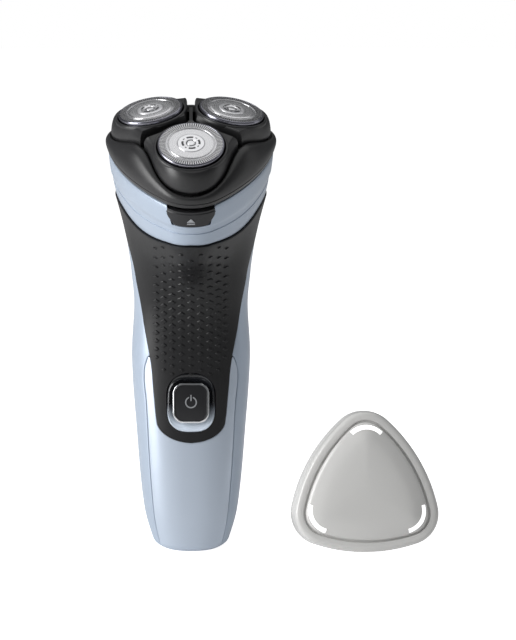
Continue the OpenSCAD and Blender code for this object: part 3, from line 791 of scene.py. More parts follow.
SMOKED_STEEL = Finish(
    "dark_steel_wall", "shaver_steel", (0.30, 0.30, 0.34), (0.24, 0.24, 0.28), roughness=0.22,
    spread=0.08, grain=0.2, depth=0.006, pattern=Pattern.TURNED, metallic=1.0,
)
CUTTER = Finish(
    "shadowed_cutter", "shaver_steel", (0.07, 0.07, 0.08), (0.05, 0.05, 0.06), roughness=0.4,
    grain=0.4, depth=0.01, metallic=0.8,
)
HUB = Finish(
    "silver_hub", "hub_silver", (0.90, 0.90, 0.92), (0.84, 0.84, 0.86), roughness=0.3, spread=0.08,
    grain=0.3, depth=0.006, pattern=Pattern.TURNED, metallic=0.85,
)
MARK = Finish(
    "dark_hub_mark", "inner_dark", (0.05, 0.05, 0.055), (0.035, 0.035, 0.04), roughness=0.35,
)
ICON = Finish(
    "silver_print", "icon_grey", (0.42, 0.43, 0.45), (0.36, 0.37, 0.39), roughness=0.4,
    metallic=0.4, grain=0.2, depth=0.002,
)
# Painted light: the near black colour is a painted shadow on the dish's top, and the pale blue-white shade is
# a painted highlight on its bottom, faded by height.
PAINTED_LIGHT_DISH = Finish(
    "dish_painted_shadow_and_highlight", "panel_blue", (0.012, 0.013, 0.016), (0.78, 0.88, 1.0), roughness=0.2,
    spread=0.04, grain=0.2, depth=0.002, painted_light_heights=(47.5, 57.0), coat=0.4,
)
CAP = Finish(
    "smoky_cap", "cap_smoke", (0.68, 0.675, 0.66), (0.64, 0.635, 0.62), roughness=0.24,
    spread=0.05, grain=0.5, depth=0.002, coat=0.3, coat_roughness=0.2,
)
INNER = Finish(
    "pale_inner_plastic", "inner_plastic", (0.62, 0.61, 0.57), (0.56, 0.55, 0.52), roughness=0.45,
    grain=0.3, depth=0.012,
)
INNER_DARK = Finish(
    "dark_inner_plastic", "inner_dark", (0.035, 0.035, 0.037), (0.027, 0.027, 0.029),
    roughness=0.5, grain=0.3, depth=0.016,
)
SEAL = Finish(
    "seal_rubber_grey", "seal_rubber", (0.045, 0.045, 0.047), (0.036, 0.036, 0.038),
    roughness=0.6, grain=0.2, depth=0.015,
)
WRAP = Finish(
    "battery_sleeve", "battery_wrap", (0.04, 0.16, 0.11), (0.03, 0.13, 0.09), roughness=0.28,
    grain=1.2, depth=0.01, coat=0.4,
)
BOARD = Finish(
    "board_lacquer", "board_green", (0.02, 0.11, 0.05), (0.03, 0.15, 0.07), roughness=0.32,
    grain=0.8, depth=0.01, coat=0.3,
)
MOTOR = Finish(
    "motor_plate", "motor_steel", (0.52, 0.53, 0.55), (0.44, 0.45, 0.47), roughness=0.3,
    grain=0.5, depth=0.006, metallic=1.0,
)
BRASS = Finish(
    "cut_brass", "pinion_brass", (0.72, 0.54, 0.24), (0.62, 0.46, 0.20), roughness=0.28,
    grain=0.3, depth=0.008, metallic=1.0,
)
SOCKET = Finish(
    "socket_plastic", "socket_black", (0.02, 0.02, 0.022), (0.015, 0.015, 0.017),
    roughness=0.42, grain=0.25, depth=0.01,
)


# --- Pieces of the object -------------------------------------------------------------------------


def dressed(
    made: Piece, finish: Finish, body: str, replaced: Sequence[str] = (), angle: float = 34
) -> Piece:
    """Shades, paints and attaches a finished piece.

    Args:
        made: The piece, in place.
        finish: Its finish.
        body: The CAD body that it rides on.
        replaced: CAD nodes that it stands for.
        angle: Edges that turn more than this many degrees stay sharp.

    Returns:
        The same piece.
    """
    made.data.shade_smooth()
    made.data.set_sharp_from_angle(angle=math.radians(angle))
    made.data.materials.clear()
    made.data.materials.append(finish.material())
    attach(made, body)
    if replaced:
        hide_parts(*replaced)
    log.info("%s: %d faces on %s", made.name, len(made.data.polygons), body)
    return made


def paint_node(node: str, finish: Finish) -> None:
    """Gives a CAD node that stays a finish.

    Args:
        node: The node's name.
        finish: Its finish.
    """
    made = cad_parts[node]
    if not made.data.materials:
        made.data.materials.append(finish.material())
    for place in made.material_slots:
        place.material = finish.material()
    log.info("%s keeps its shape in %s", node, finish.name)


@dataclass
class Handle:
    """The moulded shells, the grip and the collar."""

    wall: float = 2.1
    edge: float = 0.28
    base_rows: tuple[float, ...] = (0, 0.15, 0.35, 0.6, 0.9, 1.3, 1.8, 2.3, 2.8, 3.4)
    opening: tuple[float, float, float] = (18.4, 22.4, 8.0)
    bump_columns: tuple[float, ...] = (0, 3.55, 7.0, 10.1, 12.9)
    bump_rows: tuple[float, float] = (66.0, 130.0)
    bump_pitches: Table = ((66, 3.6), (96, 3.6), (105, 4.3), (112, 5.6), (130, 6.0))
    bump_sizes: Table = ((64, 2.0, 1.3), (72, 2.8, 2.0), (82, 3.5, 2.6), (93, 3.9, 2.8), (101, 3.9, 2.2),
                         (110, 3.6, 1.4), (120, 3.2, 1.0), (131, 2.4, 0.8))
    bump_height: float = 0.42

    def build(self) -> None:
        """Builds the handle's pieces."""
        self.rear_housing()
        self.front_panel()
        self.grip()
        self.grip_bumps()
        self.collar()

    def opening_cutter(self) -> Mesh:
        """Returns the shape of the opening for the power button."""
        width, height, corner = self.opening
        return set_in(rounded_plate(width, height, corner, -20, -9), PLACES.at_lean(PLACES.button_s))

    def rear_housing(self) -> None:
        """Builds the rear housing."""
        rows = [*self.base_rows, *steps(4.4, FORM.end_s, 108)]

        def place(u: float, s: float) -> Vector:
            """Returns the point at share u of the way round the back."""
            start = FORM.housing_angle(s) + FORM.seam
            angle = lerp(start, 360 - start, u)
            return FORM.skin(FORM.row_s(s, angle), angle, FORM.base_round(s))

        made = as_object(woven(steps(0, 1, 110), rows, place), "shell_rear")
        thickened(made, self.wall, self.edge)
        dressed(made, SHELL, "handle", ["rear_housing"])

    def front_panel(self) -> None:
        """Builds the front panel, with a bed for the grip's tongue."""
        low = FORM.tongue_end - 0.12
        rows = [*self.base_rows, *steps(4.4, low - 0.4, 30), *steps(low, 41, 16), *steps(41.2, 48, 18),
                *steps(49, 72.8, 24)]
        side = [(-1.0, t) for t in steps(0, 1, 14)]
        bed = [(0.0, t) for t in steps(-1, 1, 30)]
        columns = range(len(side) + len(bed) + len(side))
        spots = [*side, *bed, *[(1.0, t) for t in steps(0, 1, 14)]]

        def place(column: int, s: float) -> Vector:
            """Returns the point in a column, which keeps to the bed's edge."""
            edge = curve(FORM.panel_edge, s) - FORM.seam
            bed_edge = max(2.5, FORM.grip_angle(s) + 0.8) if s > low else 2.5
            which, t = spots[column]
            depth = FORM.base_round(s)
            if which == 0:
                sunk = 1.5 if s > low else 0.0
                return FORM.skin(s, bed_edge * t, depth + sunk)
            if which < 0:
                return FORM.skin(s, lerp(-edge, -bed_edge - 0.4, t), depth)
            return FORM.skin(s, lerp(bed_edge + 0.4, edge, t), depth)

        made = as_object(woven(columns, rows, place), "panel_front")
        thickened(made, 1.6, 0.25)
        cut_with(made, self.opening_cutter())
        dressed(made, PANEL, "handle", ["front_panel"])

    def grip(self) -> None:
        """Builds the rubber grip."""
        rows = [*steps(FORM.tongue_end, 41, 12), *steps(41.15, 48, 22), *steps(49, FORM.end_s, 84)]

        def place(u: float, s: float) -> Vector:
            """Returns the point at share u from the middle to an edge."""
            angle = u * max(1.5, FORM.grip_angle(s))
            return FORM.skin(FORM.row_s(s, angle), angle, -FORM.grip_proud)

        made = as_object(woven(steps(-1, 1, 90), rows, place), "grip_rubber")
        thickened(made, 1.6, 0.3)
        cut_with(made, self.opening_cutter())
        dressed(made, RUBBER, "handle", ["grip_panel"])

    def bump(self) -> bpy.types.Mesh:
        """Returns one raised diamond of unit size, with a rounded top."""
        mesh = bmesh.new()
        bmesh.ops.create_cone(
            mesh, segments=4, cap_ends=True, radius1=0.5, radius2=0.3, depth=1.0
        )
        bmesh.ops.bevel(
            mesh, geom=[e for e in mesh.edges if e.verts[0].co.z + e.verts[1].co.z > -0.5],
            affect="EDGES", offset=0.07, segments=2, profile=0.5, material=-1,
        )
        made = bpy.data.meshes.new("bump")
        mesh.to_mesh(made)
        mesh.free()
        return made

    def grip_bumps(self) -> None:
        """Builds the grip's raised diamonds, in staggered columns."""
        whole = bmesh.new()
        shape = self.bump()
        low, high = self.bump_rows
        for index, column in enumerate(self.bump_columns):
            for side in (1, -1) if column else (1,):
                s = low
                while s < high:
                    pitch = curve(self.bump_pitches, s)
                    self.add_bump(whole, shape, s + (pitch / 2 if index % 2 else 0), side * column)
                    s += pitch
        bpy.data.meshes.remove(shape)
        bmesh.ops.recalc_face_normals(whole, faces=whole.faces)
        dressed(as_object(whole, "grip_diamonds"), RUBBER, "handle", angle=50)

    def add_bump(self, whole: Mesh, shape: bpy.types.Mesh, s: float, x: float) -> None:
        """Sets one diamond on the grip.

        Args:
            whole: The mesh that takes it.
            shape: The unit diamond.
            s: Distance along the spine.
            x: Distance from the middle.
        """
        proud = -FORM.grip_proud
        angle = FORM.angle_at(s, x, proud)
        if abs(angle) > FORM.grip_angle(s) - 7:
            return
        at = FORM.skin(s, angle, proud)
        across = (FORM.skin(s, angle + 1, proud) - at).normalized()
        up = (FORM.skin(s + 0.5, angle, proud) - at).normalized()
        out = across.cross(up).normalized()
        width, height = curve(self.bump_sizes, s, 1), curve(self.bump_sizes, s, 2)
        axes = (across * width, up * height, out * self.bump_height * 2)
        where = Matrix([[*row] for row in zip(*axes)]).to_4x4()
        where.translation = at
        for row in range(3):
            for column in range(4):
                where[row][column] *= MM
        known = set(whole.verts)
        whole.from_mesh(shape)
        new = [v for v in whole.verts if v not in known]
        bmesh.ops.transform(whole, matrix=where, verts=new)

    def block(self, box: Sequence[float], narrow: float) -> Mesh:
        """Makes a block that may be narrower at its foot.

        Args:
            box: Its low and high X, Y and Z in millimetres.
            narrow: Distance of the foot's sides from the middle.

        Returns:
            The block in metres.
        """
        mesh = bmesh.new()
        bmesh.ops.create_cube(mesh, size=1)
        for vert in mesh.verts:
            top = vert.co.z > 0
            half = box[1] if top else narrow
            vert.co = Vector((math.copysign(half, vert.co.x), box[3] if vert.co.y > 0 else box[2],
                              box[5] if top else box[4])) * MM
        return mesh

    def collar(self) -> None:
        """Builds the collar under the head, with its soft step and crease."""
        outside = [
            (-17.7, 0.55), (-17.85, 0.2), (-18.2, 0.0), (-20, 0), (-22, 0), (-24, 0), (-25.2, 0.0),
            (-25.7, 0.12), (-26.2, 0.34), (-27, 0.36), (-27.9, 0.36), (-28.1, 0.62), (-28.45, 0.62),
            (-28.6, 0.34), (-30, 0.3), (-32, 0.3), (-33.4, 0.3), (-33.8, 0.45), (-33.95, 0.8),
        ]
        ring = [*outside, *[(level, FORM.shell_t) for level in steps(-33.95, -17.7, 6)], outside[0]]

        def place(angle: float, index: int) -> Vector:
            """Returns the point at an angle on one of the collar's loops."""
            level, depth = ring[index]
            return FORM.skin(FORM.head_s + FORM.collar_level(level, angle), angle, depth)

        mesh = woven(steps(0, 360, 180), range(len(ring)), place)
        bmesh.ops.recalc_face_normals(mesh, faces=mesh.faces)
        made = as_object(mesh, "collar_ring")
        cut_with(made, set_in(self.block((-8.8, 8.8, -38, -24, -24.9, -16.5), 6.8), PLACES.at_head()))
        cut_with(made, set_in(self.block((-8.3, 8.3, 18, 30, -22.4, -15.8), 8.3), PLACES.at_head()))
        dressed(made, SHELL, "handle", ["collar"])


@dataclass
class PowerControl:
    """The power button in its dish."""

    width: float = 13.5
    height: float = 15.0
    band: float = 0.7
    dish: tuple[float, float, float] = (18.0, 22.0, 7.8)

    def build(self) -> None:
        """Builds the button's pieces."""
        self.surround()
        self.trim()
        self.pad()
        paint_node("power_icon", ICON)
        paint_node("button_seal", SEAL)

    def surround(self) -> None:
        """Builds the dish as a sloping ring that falls towards the button, with painted shadow above and
        painted highlight below.
        """
        width, height, corner = self.dish
        loops = [(0.0, -12.9), (-0.05, -14.6), (0.12, -15.0), (0.4, -15.1), (0.75, -14.9), (1.6, -14.1),
                 (2.1, -13.75), (2.3, -12.9), (0.0, -12.9)]

        def outline(t: float, inset: float) -> tuple[float, float]:
            """Returns a point on the rounded outline, drawn in by an inset."""
            a = t * math.tau
            half_w, half_h = width / 2 - inset, height / 2 - inset * 1.62
            n = 3.1
            c, s = math.cos(a), math.sin(a)
            r = (abs(c / half_w) ** n + abs(s / half_h) ** n) ** (-1 / n)
            return r * c, r * s

        def place(t: float, index: int) -> Vector:
            """Returns the point on one of the dish's loops."""
            inset, y = loops[index]
            x, z = outline(t, inset)
            return Vector((x, y, z))

        mesh = woven(steps(0, 1, 120), range(len(loops)), place)
        bmesh.ops.recalc_face_normals(mesh, faces=mesh.faces)
        set_in(mesh, PLACES.at_lean(PLACES.button_s))
        dressed(as_object(mesh, "button_dish"), PAINTED_LIGHT_DISH, "handle", ["button_surround"])

    def trim(self) -> None:
        """Builds the bright ring round the button."""
        made = as_object(softened(rounded_plate(self.width, self.height, 3.9, -16.7, -15.0), 0.3),
                         "button_ring")
        inner = (self.width - 2 * self.band, self.height - 2 * self.band)
        cut_with(made, rounded_plate(*inner, 3.22, -20, -10))
        made.data.transform(self.in_metres())
        dressed(made, CHROME, "power_button", ["button_trim"])

    def in_metres(self) -> Matrix:
        """Returns the button's frame in metres."""
        where = PLACES.at_lean(PLACES.button_s)
        where.translation = where.translation * MM
        return where

    def pad(self) -> None:
        """Builds the button's face, softly rounded at its edge."""
        inner = (self.width - 2 * self.band - 0.06, self.height - 2 * self.band - 0.06)
        parts = [
            softened(rounded_plate(*inner, 3.2, -16.5, -14.2), 0.35, 4),
            rounded_plate(self.width + 2, self.height + 1.8, 3.6, -13.2, -12.5),
            rounded_plate(9, 10, 3, -14.3, -13.1),
        ]
        mesh = set_in(joined(parts), PLACES.at_lean(PLACES.button_s))
        dressed(as_object(mesh, "button_face"), BUTTON, "power_button", ["power_button"])


@dataclass
class Head:
    """The skirt, the petals and the bars between them."""

    gap: float = 2.6
    skirt_t: float = 1.6
    skirt_wide: float = -13.5
    petal_low: float = -12.2
    guard_r: float = 11.75
    round_points: int = 117

    def lobe(self, angle: float) -> float:
        """Returns 1 towards a corner and 0 between two corners."""
        return (1 + cos_deg(3 * angle)) / 2

    def line_radius(self, angle: float) -> float:
        """Returns the radius of the line where the petals meet the skirt."""
        return 20 + 12.1 * self.lobe(angle) ** 1.35

    def line_level(self, angle: float) -> float:
        """Returns the level of the line where the petals meet the skirt."""
        return -4.5 - 7.5 * self.lobe(angle)

    def top_level(self, y: float) -> float:
        """Returns the level of a petal's top."""
        return -1.6 + (y + PLACES.unit_at) * math.tan(math.radians(PLACES.unit_tilt))

    def build(self) -> None:
        """Builds the head's pieces."""
        self.skirt()
        for k, corner in enumerate(CORNERS):
            self.petal(k, corner)
            self.petal_rim(k, corner)
        paint_node("petal_rib", INNER_DARK)
        paint_node("head_carrier", INNER_DARK)
        paint_node("retaining_frame", INNER)
        paint_node("hinge_lug", HEAD)

    def skirt_point(self, angle: float, t: float, depth: float) -> tuple[float, float, float]:
        """Finds a point on the skirt's dome.

        Args:
            angle: Angle in degrees from the front corner.
            t: Share of the way from the petals' line to the widest level.
            depth: Distance below the skin.

        Returns:
            The point in the head's frame.
        """
        start, end = self.line_radius(angle) + 0.35, FORM.head.radius(angle)
        z0 = self.line_level(angle) - 0.45
        r = lerp(start, end, sin_deg(90 * t))
        return (*polar(angle, r - depth), lerp(z0, self.skirt_wide, 1 - cos_deg(90 * t)))

    def skirt(self) -> None:
        """Builds the skirt as a closed ring, with a shadow line above its lower band."""
        dome = [("dome", t, 0.0) for t in (0.0, 0.02, 0.05, *steps(0.1, 1, 18))]
        rim = [("rim", level, depth) for level, depth in (
            (-14.2, 0.05), (-14.8, 0.18), (-14.95, 0.5), (-15.15, 0.5), (-15.3, 0.3), (-16.4, 0.62),
            (-16.85, 0.85), (-17, 1.2), (-17, 2.4), (-14.2, 1.7))]
        under = [("dome", t, self.skirt_t) for t in (0.8, 0.55, 0.3, 0.0)]
        ring = [*dome, *rim, *under, dome[0]]

        def place(angle: float, index: int) -> Sequence[float]:
            """Returns the point at an angle on one of the skirt's loops."""
            kind, value, depth = ring[index]
            if kind == "rim":
                return (*polar(angle, FORM.head.radius(angle, depth)), value)
            x, y, z = self.skirt_point(angle, value, depth)
            drop = 1.4 - 0.4 * value if depth else 0.5 * (1 - clamp(value / 0.05)) ** 2
            return x, y, z - drop

        mesh = woven(steps(0, 360, 240), range(len(ring)), place)
        bmesh.ops.recalc_face_normals(mesh, faces=mesh.faces)
        made = as_object(set_in(mesh, PLACES.at_head()), "skirt_shell")
        dressed(made, HEAD, "shaving_head", ["head_skirt"], angle=42)

    def side_gap(self, inset: float) -> float:
        """Returns a petal's distance from the line between two petals."""
        return self.gap / 2 + inset * 0.6

    def petal_end(self, inset: float) -> float:
        """Returns the angle at which a petal's round side meets its straight one."""
        gap, angle = self.side_gap(inset), 55.0
        for _ in range(3):
            angle = 60 - math.degrees(math.asin(gap / (self.line_radius(angle) - inset)))
        return angle

    def petal(self, k: int, corner: str) -> None:
        """Builds a petal: a lobe round one shaving unit.

        Args:
            k: The corner's number.
            corner: The corner's name.
        """
        levels = [(1.6, 0.0), (0.5, 0.3), (0.15, 0.55), (0.1, 0.62), (0.14, 0.69), (0.32, 0.78), (0.6, 0.86),
                  (0.95, 0.925), (1.3, 0.965), (1.6, 0.988), (1.85, 1.0)]
        tip = self.round_points

        def place(column: int, index: int) -> Sequence[float]:
            """Returns the point in a column on one of the petal's levels."""
            inset, share = levels[index]
            if column % (tip + 1) == tip:
                x, y = 0.0, -self.side_gap(inset) / sin_deg(60)
            else:
                angle = self.petal_end(inset) * (2 * (column % (tip + 1)) / (tip - 1) - 1)
                x, y = polar(angle, self.line_radius(angle) - inset)
            line = self.line_level(math.degrees(math.atan2(x, -y))) + 0.35
            if share <= 0.62:
                z = lerp(self.petal_low, line + 0.6, share / 0.62)
            else:
                z = lerp(line + 0.6, self.top_level(y), (share - 0.62) / 0.38)
            return x, y, z

        mesh = closed_up(woven(range(tip + 2), range(len(levels)), place))
        made = as_object(mesh, f"petal_{corner}_lobe")
        well = bmesh.new()
        bmesh.ops.create_cone(well, segments=96, cap_ends=True, radius1=self.guard_r + 0.4,
                              radius2=self.guard_r + 0.4, depth=40)
        bmesh.ops.scale(well, vec=(MM, MM, MM), verts=well.verts)
        cut_with(made, set_in(well, PLACES.unit_in_corner()))
        where = PLACES.at_corner(k)
        where.translation = where.translation * MM
        made.data.transform(where)
        dressed(made, HEAD, f"petal_{corner}", [f"petal_{corner}"], angle=38)

    def petal_rim(self, k: int, corner: str) -> None:
        """Builds the raised rim round a petal's well.

        Args:
            k: The corner's number.
            corner: The corner's name.
        """
        inner = self.guard_r + 0.4
        profile = [(inner, -2.4), (inner, -1.35), (inner + 0.12, -1.2), (inner + 0.45, -1.18),
                   (inner + 0.75, -1.28), (inner + 0.95, -1.6), (inner + 1.0, -2.4)]
        made = as_object(set_in(turned(profile), PLACES.at_unit(k)), f"petal_{corner}_rim")
        dressed(made, HEAD, f"petal_{corner}", angle=50)


@dataclass
class ShavingUnits:
    """The guards with their hair slots, the hubs and the cutters."""

    slots: int = 84
    wall_profile: tuple[tuple[float, float], ...] = (
        (10.95, -5.4), (11.75, -5.4), (11.75, -0.7), (11.7, -0.4), (11.55, -0.16), (11.3, -0.03),
        (11.2, 0.0), (11.1, -0.03), (11.03, -0.14), (10.95, -0.6),
    )
    face_profile: tuple[tuple[float, float], ...] = (
        (4.9, -0.55), (9.0, -0.55), (9.0, -0.12), (8.92, -0.02), (8.6, 0.0), (8.5, -0.1), (8.42, -0.26),
        (8.22, -0.26), (8.14, -0.1), (8.05, 0.0), (7.75, 0.02), (7.6, 0.1), (7.45, 0.12), (4.9, 0.12),
    )
    hub_profile: tuple[tuple[float, float], ...] = (
        (0, 0.3), (1.2, 0.3), (1.32, 0.24), (1.4, 0.08), (1.7, 0.08), (1.78, 0.24), (1.9, 0.3),
        (4.4, 0.3), (4.65, 0.26), (4.8, 0.12), (4.82, -0.4), (0, -0.4),
    )

    def build(self) -> None:
        """Builds the three shaving units."""
        for k, corner in enumerate(CORNERS):
            self.guard_wall(k, corner)
            self.guard_face(k, corner)
            self.hub(k, corner)
            self.cutter(k, corner)

    def guard_wall(self, k: int, corner: str) -> None:
        """Builds a guard's wall and rim.

        Args:
            k: The corner's number.
            corner: The corner's name.
        """
        made = as_object(set_in(turned(self.wall_profile, count=128), PLACES.at_unit(k)),
                         f"guard_{corner}_wall")
        dressed(made, SMOKED_STEEL, f"guard_{corner}", angle=50)

    def guard_face(self, k: int, corner: str) -> None:
        """Builds a guard's turned face and the bars between its slots.

        Args:
            k: The corner's number.
            corner: The corner's name.
        """
        parts = [turned(self.face_profile, count=128)]
        for i in range(self.slots):
            bar = bmesh.new()
            bmesh.ops.create_cube(bar, size=1)
            for vert in bar.verts:
                outer = vert.co.x > 0
                half = 0.21 if outer else 0.15
                vert.co = Vector((11.05 if outer else 8.9, math.copysign(half, vert.co.y),
                                  -0.05 if vert.co.z > 0 else -0.5)) * MM
            bar.transform(Matrix.Rotation(math.tau * i / self.slots, 4, "Z"))
            parts.append(ringed(bar))
        made = as_object(set_in(joined(parts), PLACES.at_unit(k)), f"guard_{corner}_face")
        dressed(made, STEEL, f"guard_{corner}", [f"guard_{corner}"], angle=50)

    def hub(self, k: int, corner: str) -> None:
        """Builds the bright hub and the marks on it.

        Args:
            k: The corner's number.
            corner: The corner's name.
        """
        where = PLACES.at_unit(k)
        made = as_object(set_in(turned(self.hub_profile, ring=False), where), f"hub_{corner}_disc")
        dressed(made, HUB, f"guard_{corner}", [f"guard_hub_{corner}"], angle=50)
        marks = []
        for i in range(8):
            main = i % 2 == 0
            low, high, span = (2.6, 3.35, 46) if main else (2.95, 3.3, 14)
            marks.append(self.arc(low, high, i * 45 + 8, span))
        marks.append(turned([(1.4, 0.05), (1.4, 0.14), (1.7, 0.14), (1.7, 0.05)]))
        made = as_object(set_in(joined(marks), where), f"hub_{corner}_marks")
        dressed(made, MARK, f"guard_{corner}")

    def arc(self, low: float, high: float, middle: float, span: float) -> Mesh:
        """Makes a thin raised arc on a hub.

        Args:
            low: Inner radius.
            high: Outer radius.
            middle: Angle of its middle in degrees.
            span: Angle that it covers in degrees.

        Returns:
            The closed arc in metres.
        """
        mesh = bmesh.new()
        corners = ((low, 0.25), (high, 0.25), (high, 0.34), (low, 0.34))
        verts = [mesh.verts.new((r * MM, 0, z * MM)) for r, z in corners]
        edges = [mesh.edges.new(pair) for pair in zip(verts, verts[1:] + verts[:1])]
        bmesh.ops.spin(mesh, geom=verts + edges, cent=(0, 0, 0), axis=(0, 0, 1),
                       angle=math.radians(span), steps=10)
        mesh.transform(Matrix.Rotation(math.radians(middle - span / 2), 4, "Z"))
        return closed_up(mesh)

    def cutter(self, k: int, corner: str) -> None:
        """Paints a cutter and its carrier.

        Args:
            k: The corner's number.
            corner: The corner's name.
        """
        paint_node(f"cutter_{corner}", CUTTER)
        paint_node(f"cutter_carrier_{corner}", INNER_DARK)


@dataclass
class ReleaseControl:
    """The head's release button."""

    def build(self) -> None:
        """Builds the button and paints its mark."""
        low, high = -24.5, -18.6
        rows = [low, low + 0.15, low + 0.4, low + 0.8, *steps(low + 1.4, high - 1.2, 8), high - 0.9,
                high - 0.75, high - 0.3, high]

        def place(t: float, z: float) -> Vector:
            """Returns the point at share t of the way from the middle to an edge."""
            half = lerp(11.6, 15.8, smooth((z - low) / 4)) - 3 * max(0.0, low + 0.6 - z)
            ledge = 0.25 if z > high - 0.8 else 0.0
            return FORM.skin(FORM.head_s + z, t * half, -0.3 + ledge)

        made = as_object(woven(steps(-1, 1, 40), rows, place), "release_face")
        thickened(made, 1.9, 0.3)
        dressed(made, BUTTON, "release_button", ["release_button"])
        paint_node("release_icon", ICON)


@dataclass
class TravelCap:
    """The smoky travel cap, standing beside the handle."""

    width: float = 54.8
    wall: float = 1.0
    slot_at: float = 15.2
    slot_rows: tuple[float, float] = (7.0, 8.7)
    slot_span: float = 90.0

    def build(self) -> None:
        """Builds the cap with its rim, groove, dome and slots."""
        form = RoundedTriangle(0.318 * self.width, 0.225 * self.width, 0.428 * self.width)
        levels = [
            (-9.0, 0.35), (-8.8, 0.1), (-8.4, 0.0), (-2, 0.3), (3.2, 0.7), (4.4, 0.95), (5.0, 1.35),
            (5.3, 1.9), (5.45, 2.6), (5.5, 3.4), (5.45, 3.9), (5.2, 4.05), (4.7, 4.1), (4.65, 4.5),
            (4.7, 4.75), (5.4, 4.85), (6.0, 5.0), (6.35, 5.4), (6.7, 6.2), (7.2, 7.6), (7.75, 9.2),
            (8.15, 10.8),
        ]
        rows = range(len(levels) + 6)

        def place(angle: float, row: int) -> Sequence[float]:
            """Returns the point at an angle on one of the cap's loops."""
            if row < len(levels):
                z, inset = levels[row]
                return (*polar(angle + 180, form.radius(angle, inset)), z)
            share = (row - len(levels) + 1) / 6
            z, inset = levels[-1]
            r = form.radius(angle, inset) * (1 - share)
            return (*polar(angle + 180, r), z + 0.85 * (1 - (1 - share) ** 2))

        mesh = woven(steps(0, 360, 192), rows, place)
        bmesh.ops.recalc_face_normals(mesh, faces=mesh.faces)
        if sum(f.normal.z * f.calc_area() for f in mesh.faces) < 0:
            bmesh.ops.reverse_faces(mesh, faces=mesh.faces)
        made = as_object(mesh, "cap_shell")
        thickened(made, self.wall, 0.25)
        for k in range(3):
            cut_with(made, self.slot_cutter(k))
        where = PLACES.at_cap()
        where.translation = where.translation * MM
        made.data.transform(where)
        dressed(made, CAP, "travel_cap", ["travel_cap"], angle=40)

    def slot_cutter(self, k: int) -> Mesh:
        """Returns the shape of the curved slot near corner k, in the cap's frame."""
        mesh = bmesh.new()
        low, high = self.slot_rows
        corners = ((low, 0), (high, 0), (high, 12), (low, 12))
        verts = [mesh.verts.new((0, r * MM, z * MM)) for r, z in corners]
        edges = [mesh.edges.new(pair) for pair in zip(verts, verts[1:] + verts[:1])]
        back = Matrix.Rotation(math.radians(-self.slot_span / 2), 4, "Z")
        bmesh.ops.transform(mesh, matrix=back, verts=verts)
        bmesh.ops.spin(mesh, geom=verts + edges, cent=(0, 0, 0), axis=(0, 0, 1),
                       angle=math.radians(self.slot_span), steps=24)
        away = Matrix.Translation((0, self.slot_at * MM, 0))
        mesh.transform(Matrix.Rotation(math.radians(120 * k), 4, "Z") @ away)
        return closed_up(mesh)


class Internals:
    """The works inside the handle, which keep their CAD shapes."""

    finishes: dict[str, Finish] = {
        "base_plate": SHELL, "charge_socket": SOCKET, "charge_pins": CHROME, "battery": WRAP,
        "chassis": INNER, "circuit_board": BOARD, "tact_switch": SOCKET, "motor_can": MOTOR,
        "motor_mount": INNER, "gear_plate": INNER, "plate_screws": MOTOR,
        "chamber_floor": INNER_DARK, "chamber_seal": SEAL, "spindle_seals": SEAL,
        "hinge_bracket": INNER_DARK, "hinge_pin": CHROME, "motor_shaft": MOTOR,
        "motor_pinion": BRASS,
    }

    def build(self) -> None:
        """Paints each node."""
        for node, finish in self.finishes.items():
            paint_node(node, finish)
        for corner in CORNERS:
            paint_node(f"drive_gear_{corner}", INNER)
            paint_node(f"drive_spindle_{corner}", MOTOR)


# --- Studio ---------------------------------------------------------------------------------------


@dataclass
class Softbox:
    """A plain area light."""

    name: str
    at: tuple[float, float, float]
    size: tuple[float, float]
    power: float
    aim: tuple[float, float, float] = (0.02, 0.0, 0.09)

    def build(self) -> None:
        """Adds the light."""
        data = bpy.data.lights.new(self.name, "AREA")
        data.shape = "RECTANGLE"
        data.size, data.size_y = self.size
        data.energy = self.power
        made = bpy.data.objects.new(self.name, data)
        made.location = self.at
        made.rotation_euler = (Vector(self.at) - Vector(self.aim)).to_track_quat("Z", "Y").to_euler()
        bpy.context.scene.collection.objects.link(made)


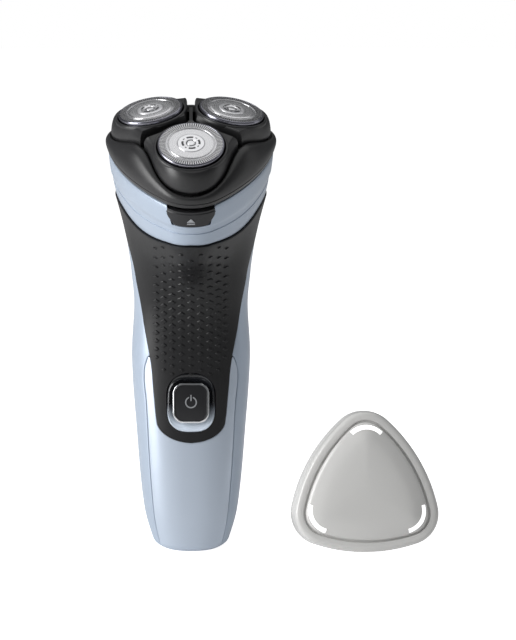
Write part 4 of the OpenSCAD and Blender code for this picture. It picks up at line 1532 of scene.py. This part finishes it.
@dataclass
class Studio:
    """The floor, the soft light and the camera."""

    camera_at: tuple[float, float, float] = (0.0, -0.62165, 0.21581)
    pitch: float = 11.714
    lens: float = 95.77
    shift: float = 0.1047
    floor_size: float = 8.0
    floor_glow: float = 0.2
    floor_seen: float = 0.74
    ambient: float = 0.14
    lights: list[Softbox] = field(default_factory=lambda: [
        Softbox("key_left", (-0.68, -0.3, 0.32), (0.4, 0.75), 7.2),
        Softbox("top", (0.05, 0.1, 0.85), (0.9, 0.9), 2.1),
        Softbox("rim_right", (0.6, 0.1, 0.25), (0.25, 0.7), 0.3),
    ])

    def build(self) -> None:
        """Builds the studio."""
        for light in self.lights:
            light.build()
        self.world()
        self.floor()
        self.camera()

    def world(self) -> None:
        """Sets a plain pale surround, dimmer as light than as a backdrop."""
        world = bpy.data.worlds.new("studio")
        bpy.context.scene.world = world
        world.use_nodes = True
        tree = world.node_tree
        tree.nodes.clear()
        seen = added(tree, "ShaderNodeBackground", {"Color": (1, 1, 1, 1), "Strength": 1.0})
        lit = added(tree, "ShaderNodeBackground", {"Color": (0.96, 0.98, 1, 1), "Strength": self.ambient})
        path = added(tree, "ShaderNodeLightPath")
        mix = added(tree, "ShaderNodeMixShader",
                    {0: path.outputs["Is Camera Ray"], 1: lit.outputs[0], 2: seen.outputs[0]})
        added(tree, "ShaderNodeOutputWorld", {0: mix.outputs[0]})

    def floor(self) -> None:
        """Adds the pale plain floor."""
        mesh = bmesh.new()
        bmesh.ops.create_grid(mesh, x_segments=1, y_segments=1, size=self.floor_size / 2)
        made = as_object(mesh, "floor")
        paint = bpy.data.materials.new("pale_floor")
        paint.use_nodes = True
        tree = paint.node_tree
        shader = tree.nodes["Principled BSDF"].inputs
        for label, value in (
            ("Base Color", (0.8, 0.8, 0.8, 1)), ("Roughness", 0.7), ("Specular IOR Level", 0.1),
            ("Emission Color", (1, 1, 1, 1)),
        ):
            shader[label].default_value = value
        path = added(tree, "ShaderNodeLightPath")
        glow = added(
            tree, "ShaderNodeMath",
            {0: path.outputs["Is Camera Ray"], 1: self.floor_seen, 2: self.floor_glow},
            operation="MULTIPLY_ADD",
        )
        tree.links.new(glow.outputs[0], shader["Emission Strength"])
        made.data.materials.append(paint)

    def camera(self) -> None:
        """Adds the camera."""
        data = bpy.data.cameras.new("view")
        data.lens, data.sensor_width, data.shift_x = self.lens, 36.0, self.shift
        made = bpy.data.objects.new("view", data)
        made.location = self.camera_at
        made.rotation_euler = (math.radians(90 - self.pitch), 0, 0)
        bpy.context.scene.collection.objects.link(made)
        bpy.context.scene.camera = made
        bpy.context.scene.view_settings.view_transform = "Standard"


def corners(bounds: tuple[Vector, Vector]) -> list[list[float]]:
    """Returns a box's two corners as plain lists."""
    return [[float(value) for value in corner] for corner in bounds]


def main() -> None:
    """Builds every piece, then the studio."""
    logging.basicConfig(level=logging.INFO, format="%(name)s: %(message)s")
    parts = (Handle(), PowerControl(), ReleaseControl(), Head(), ShavingUnits(), TravelCap(), Internals())
    for part in parts:
        part.build()
    Studio().build()
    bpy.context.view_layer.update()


if __name__ == "__main__":
    main()
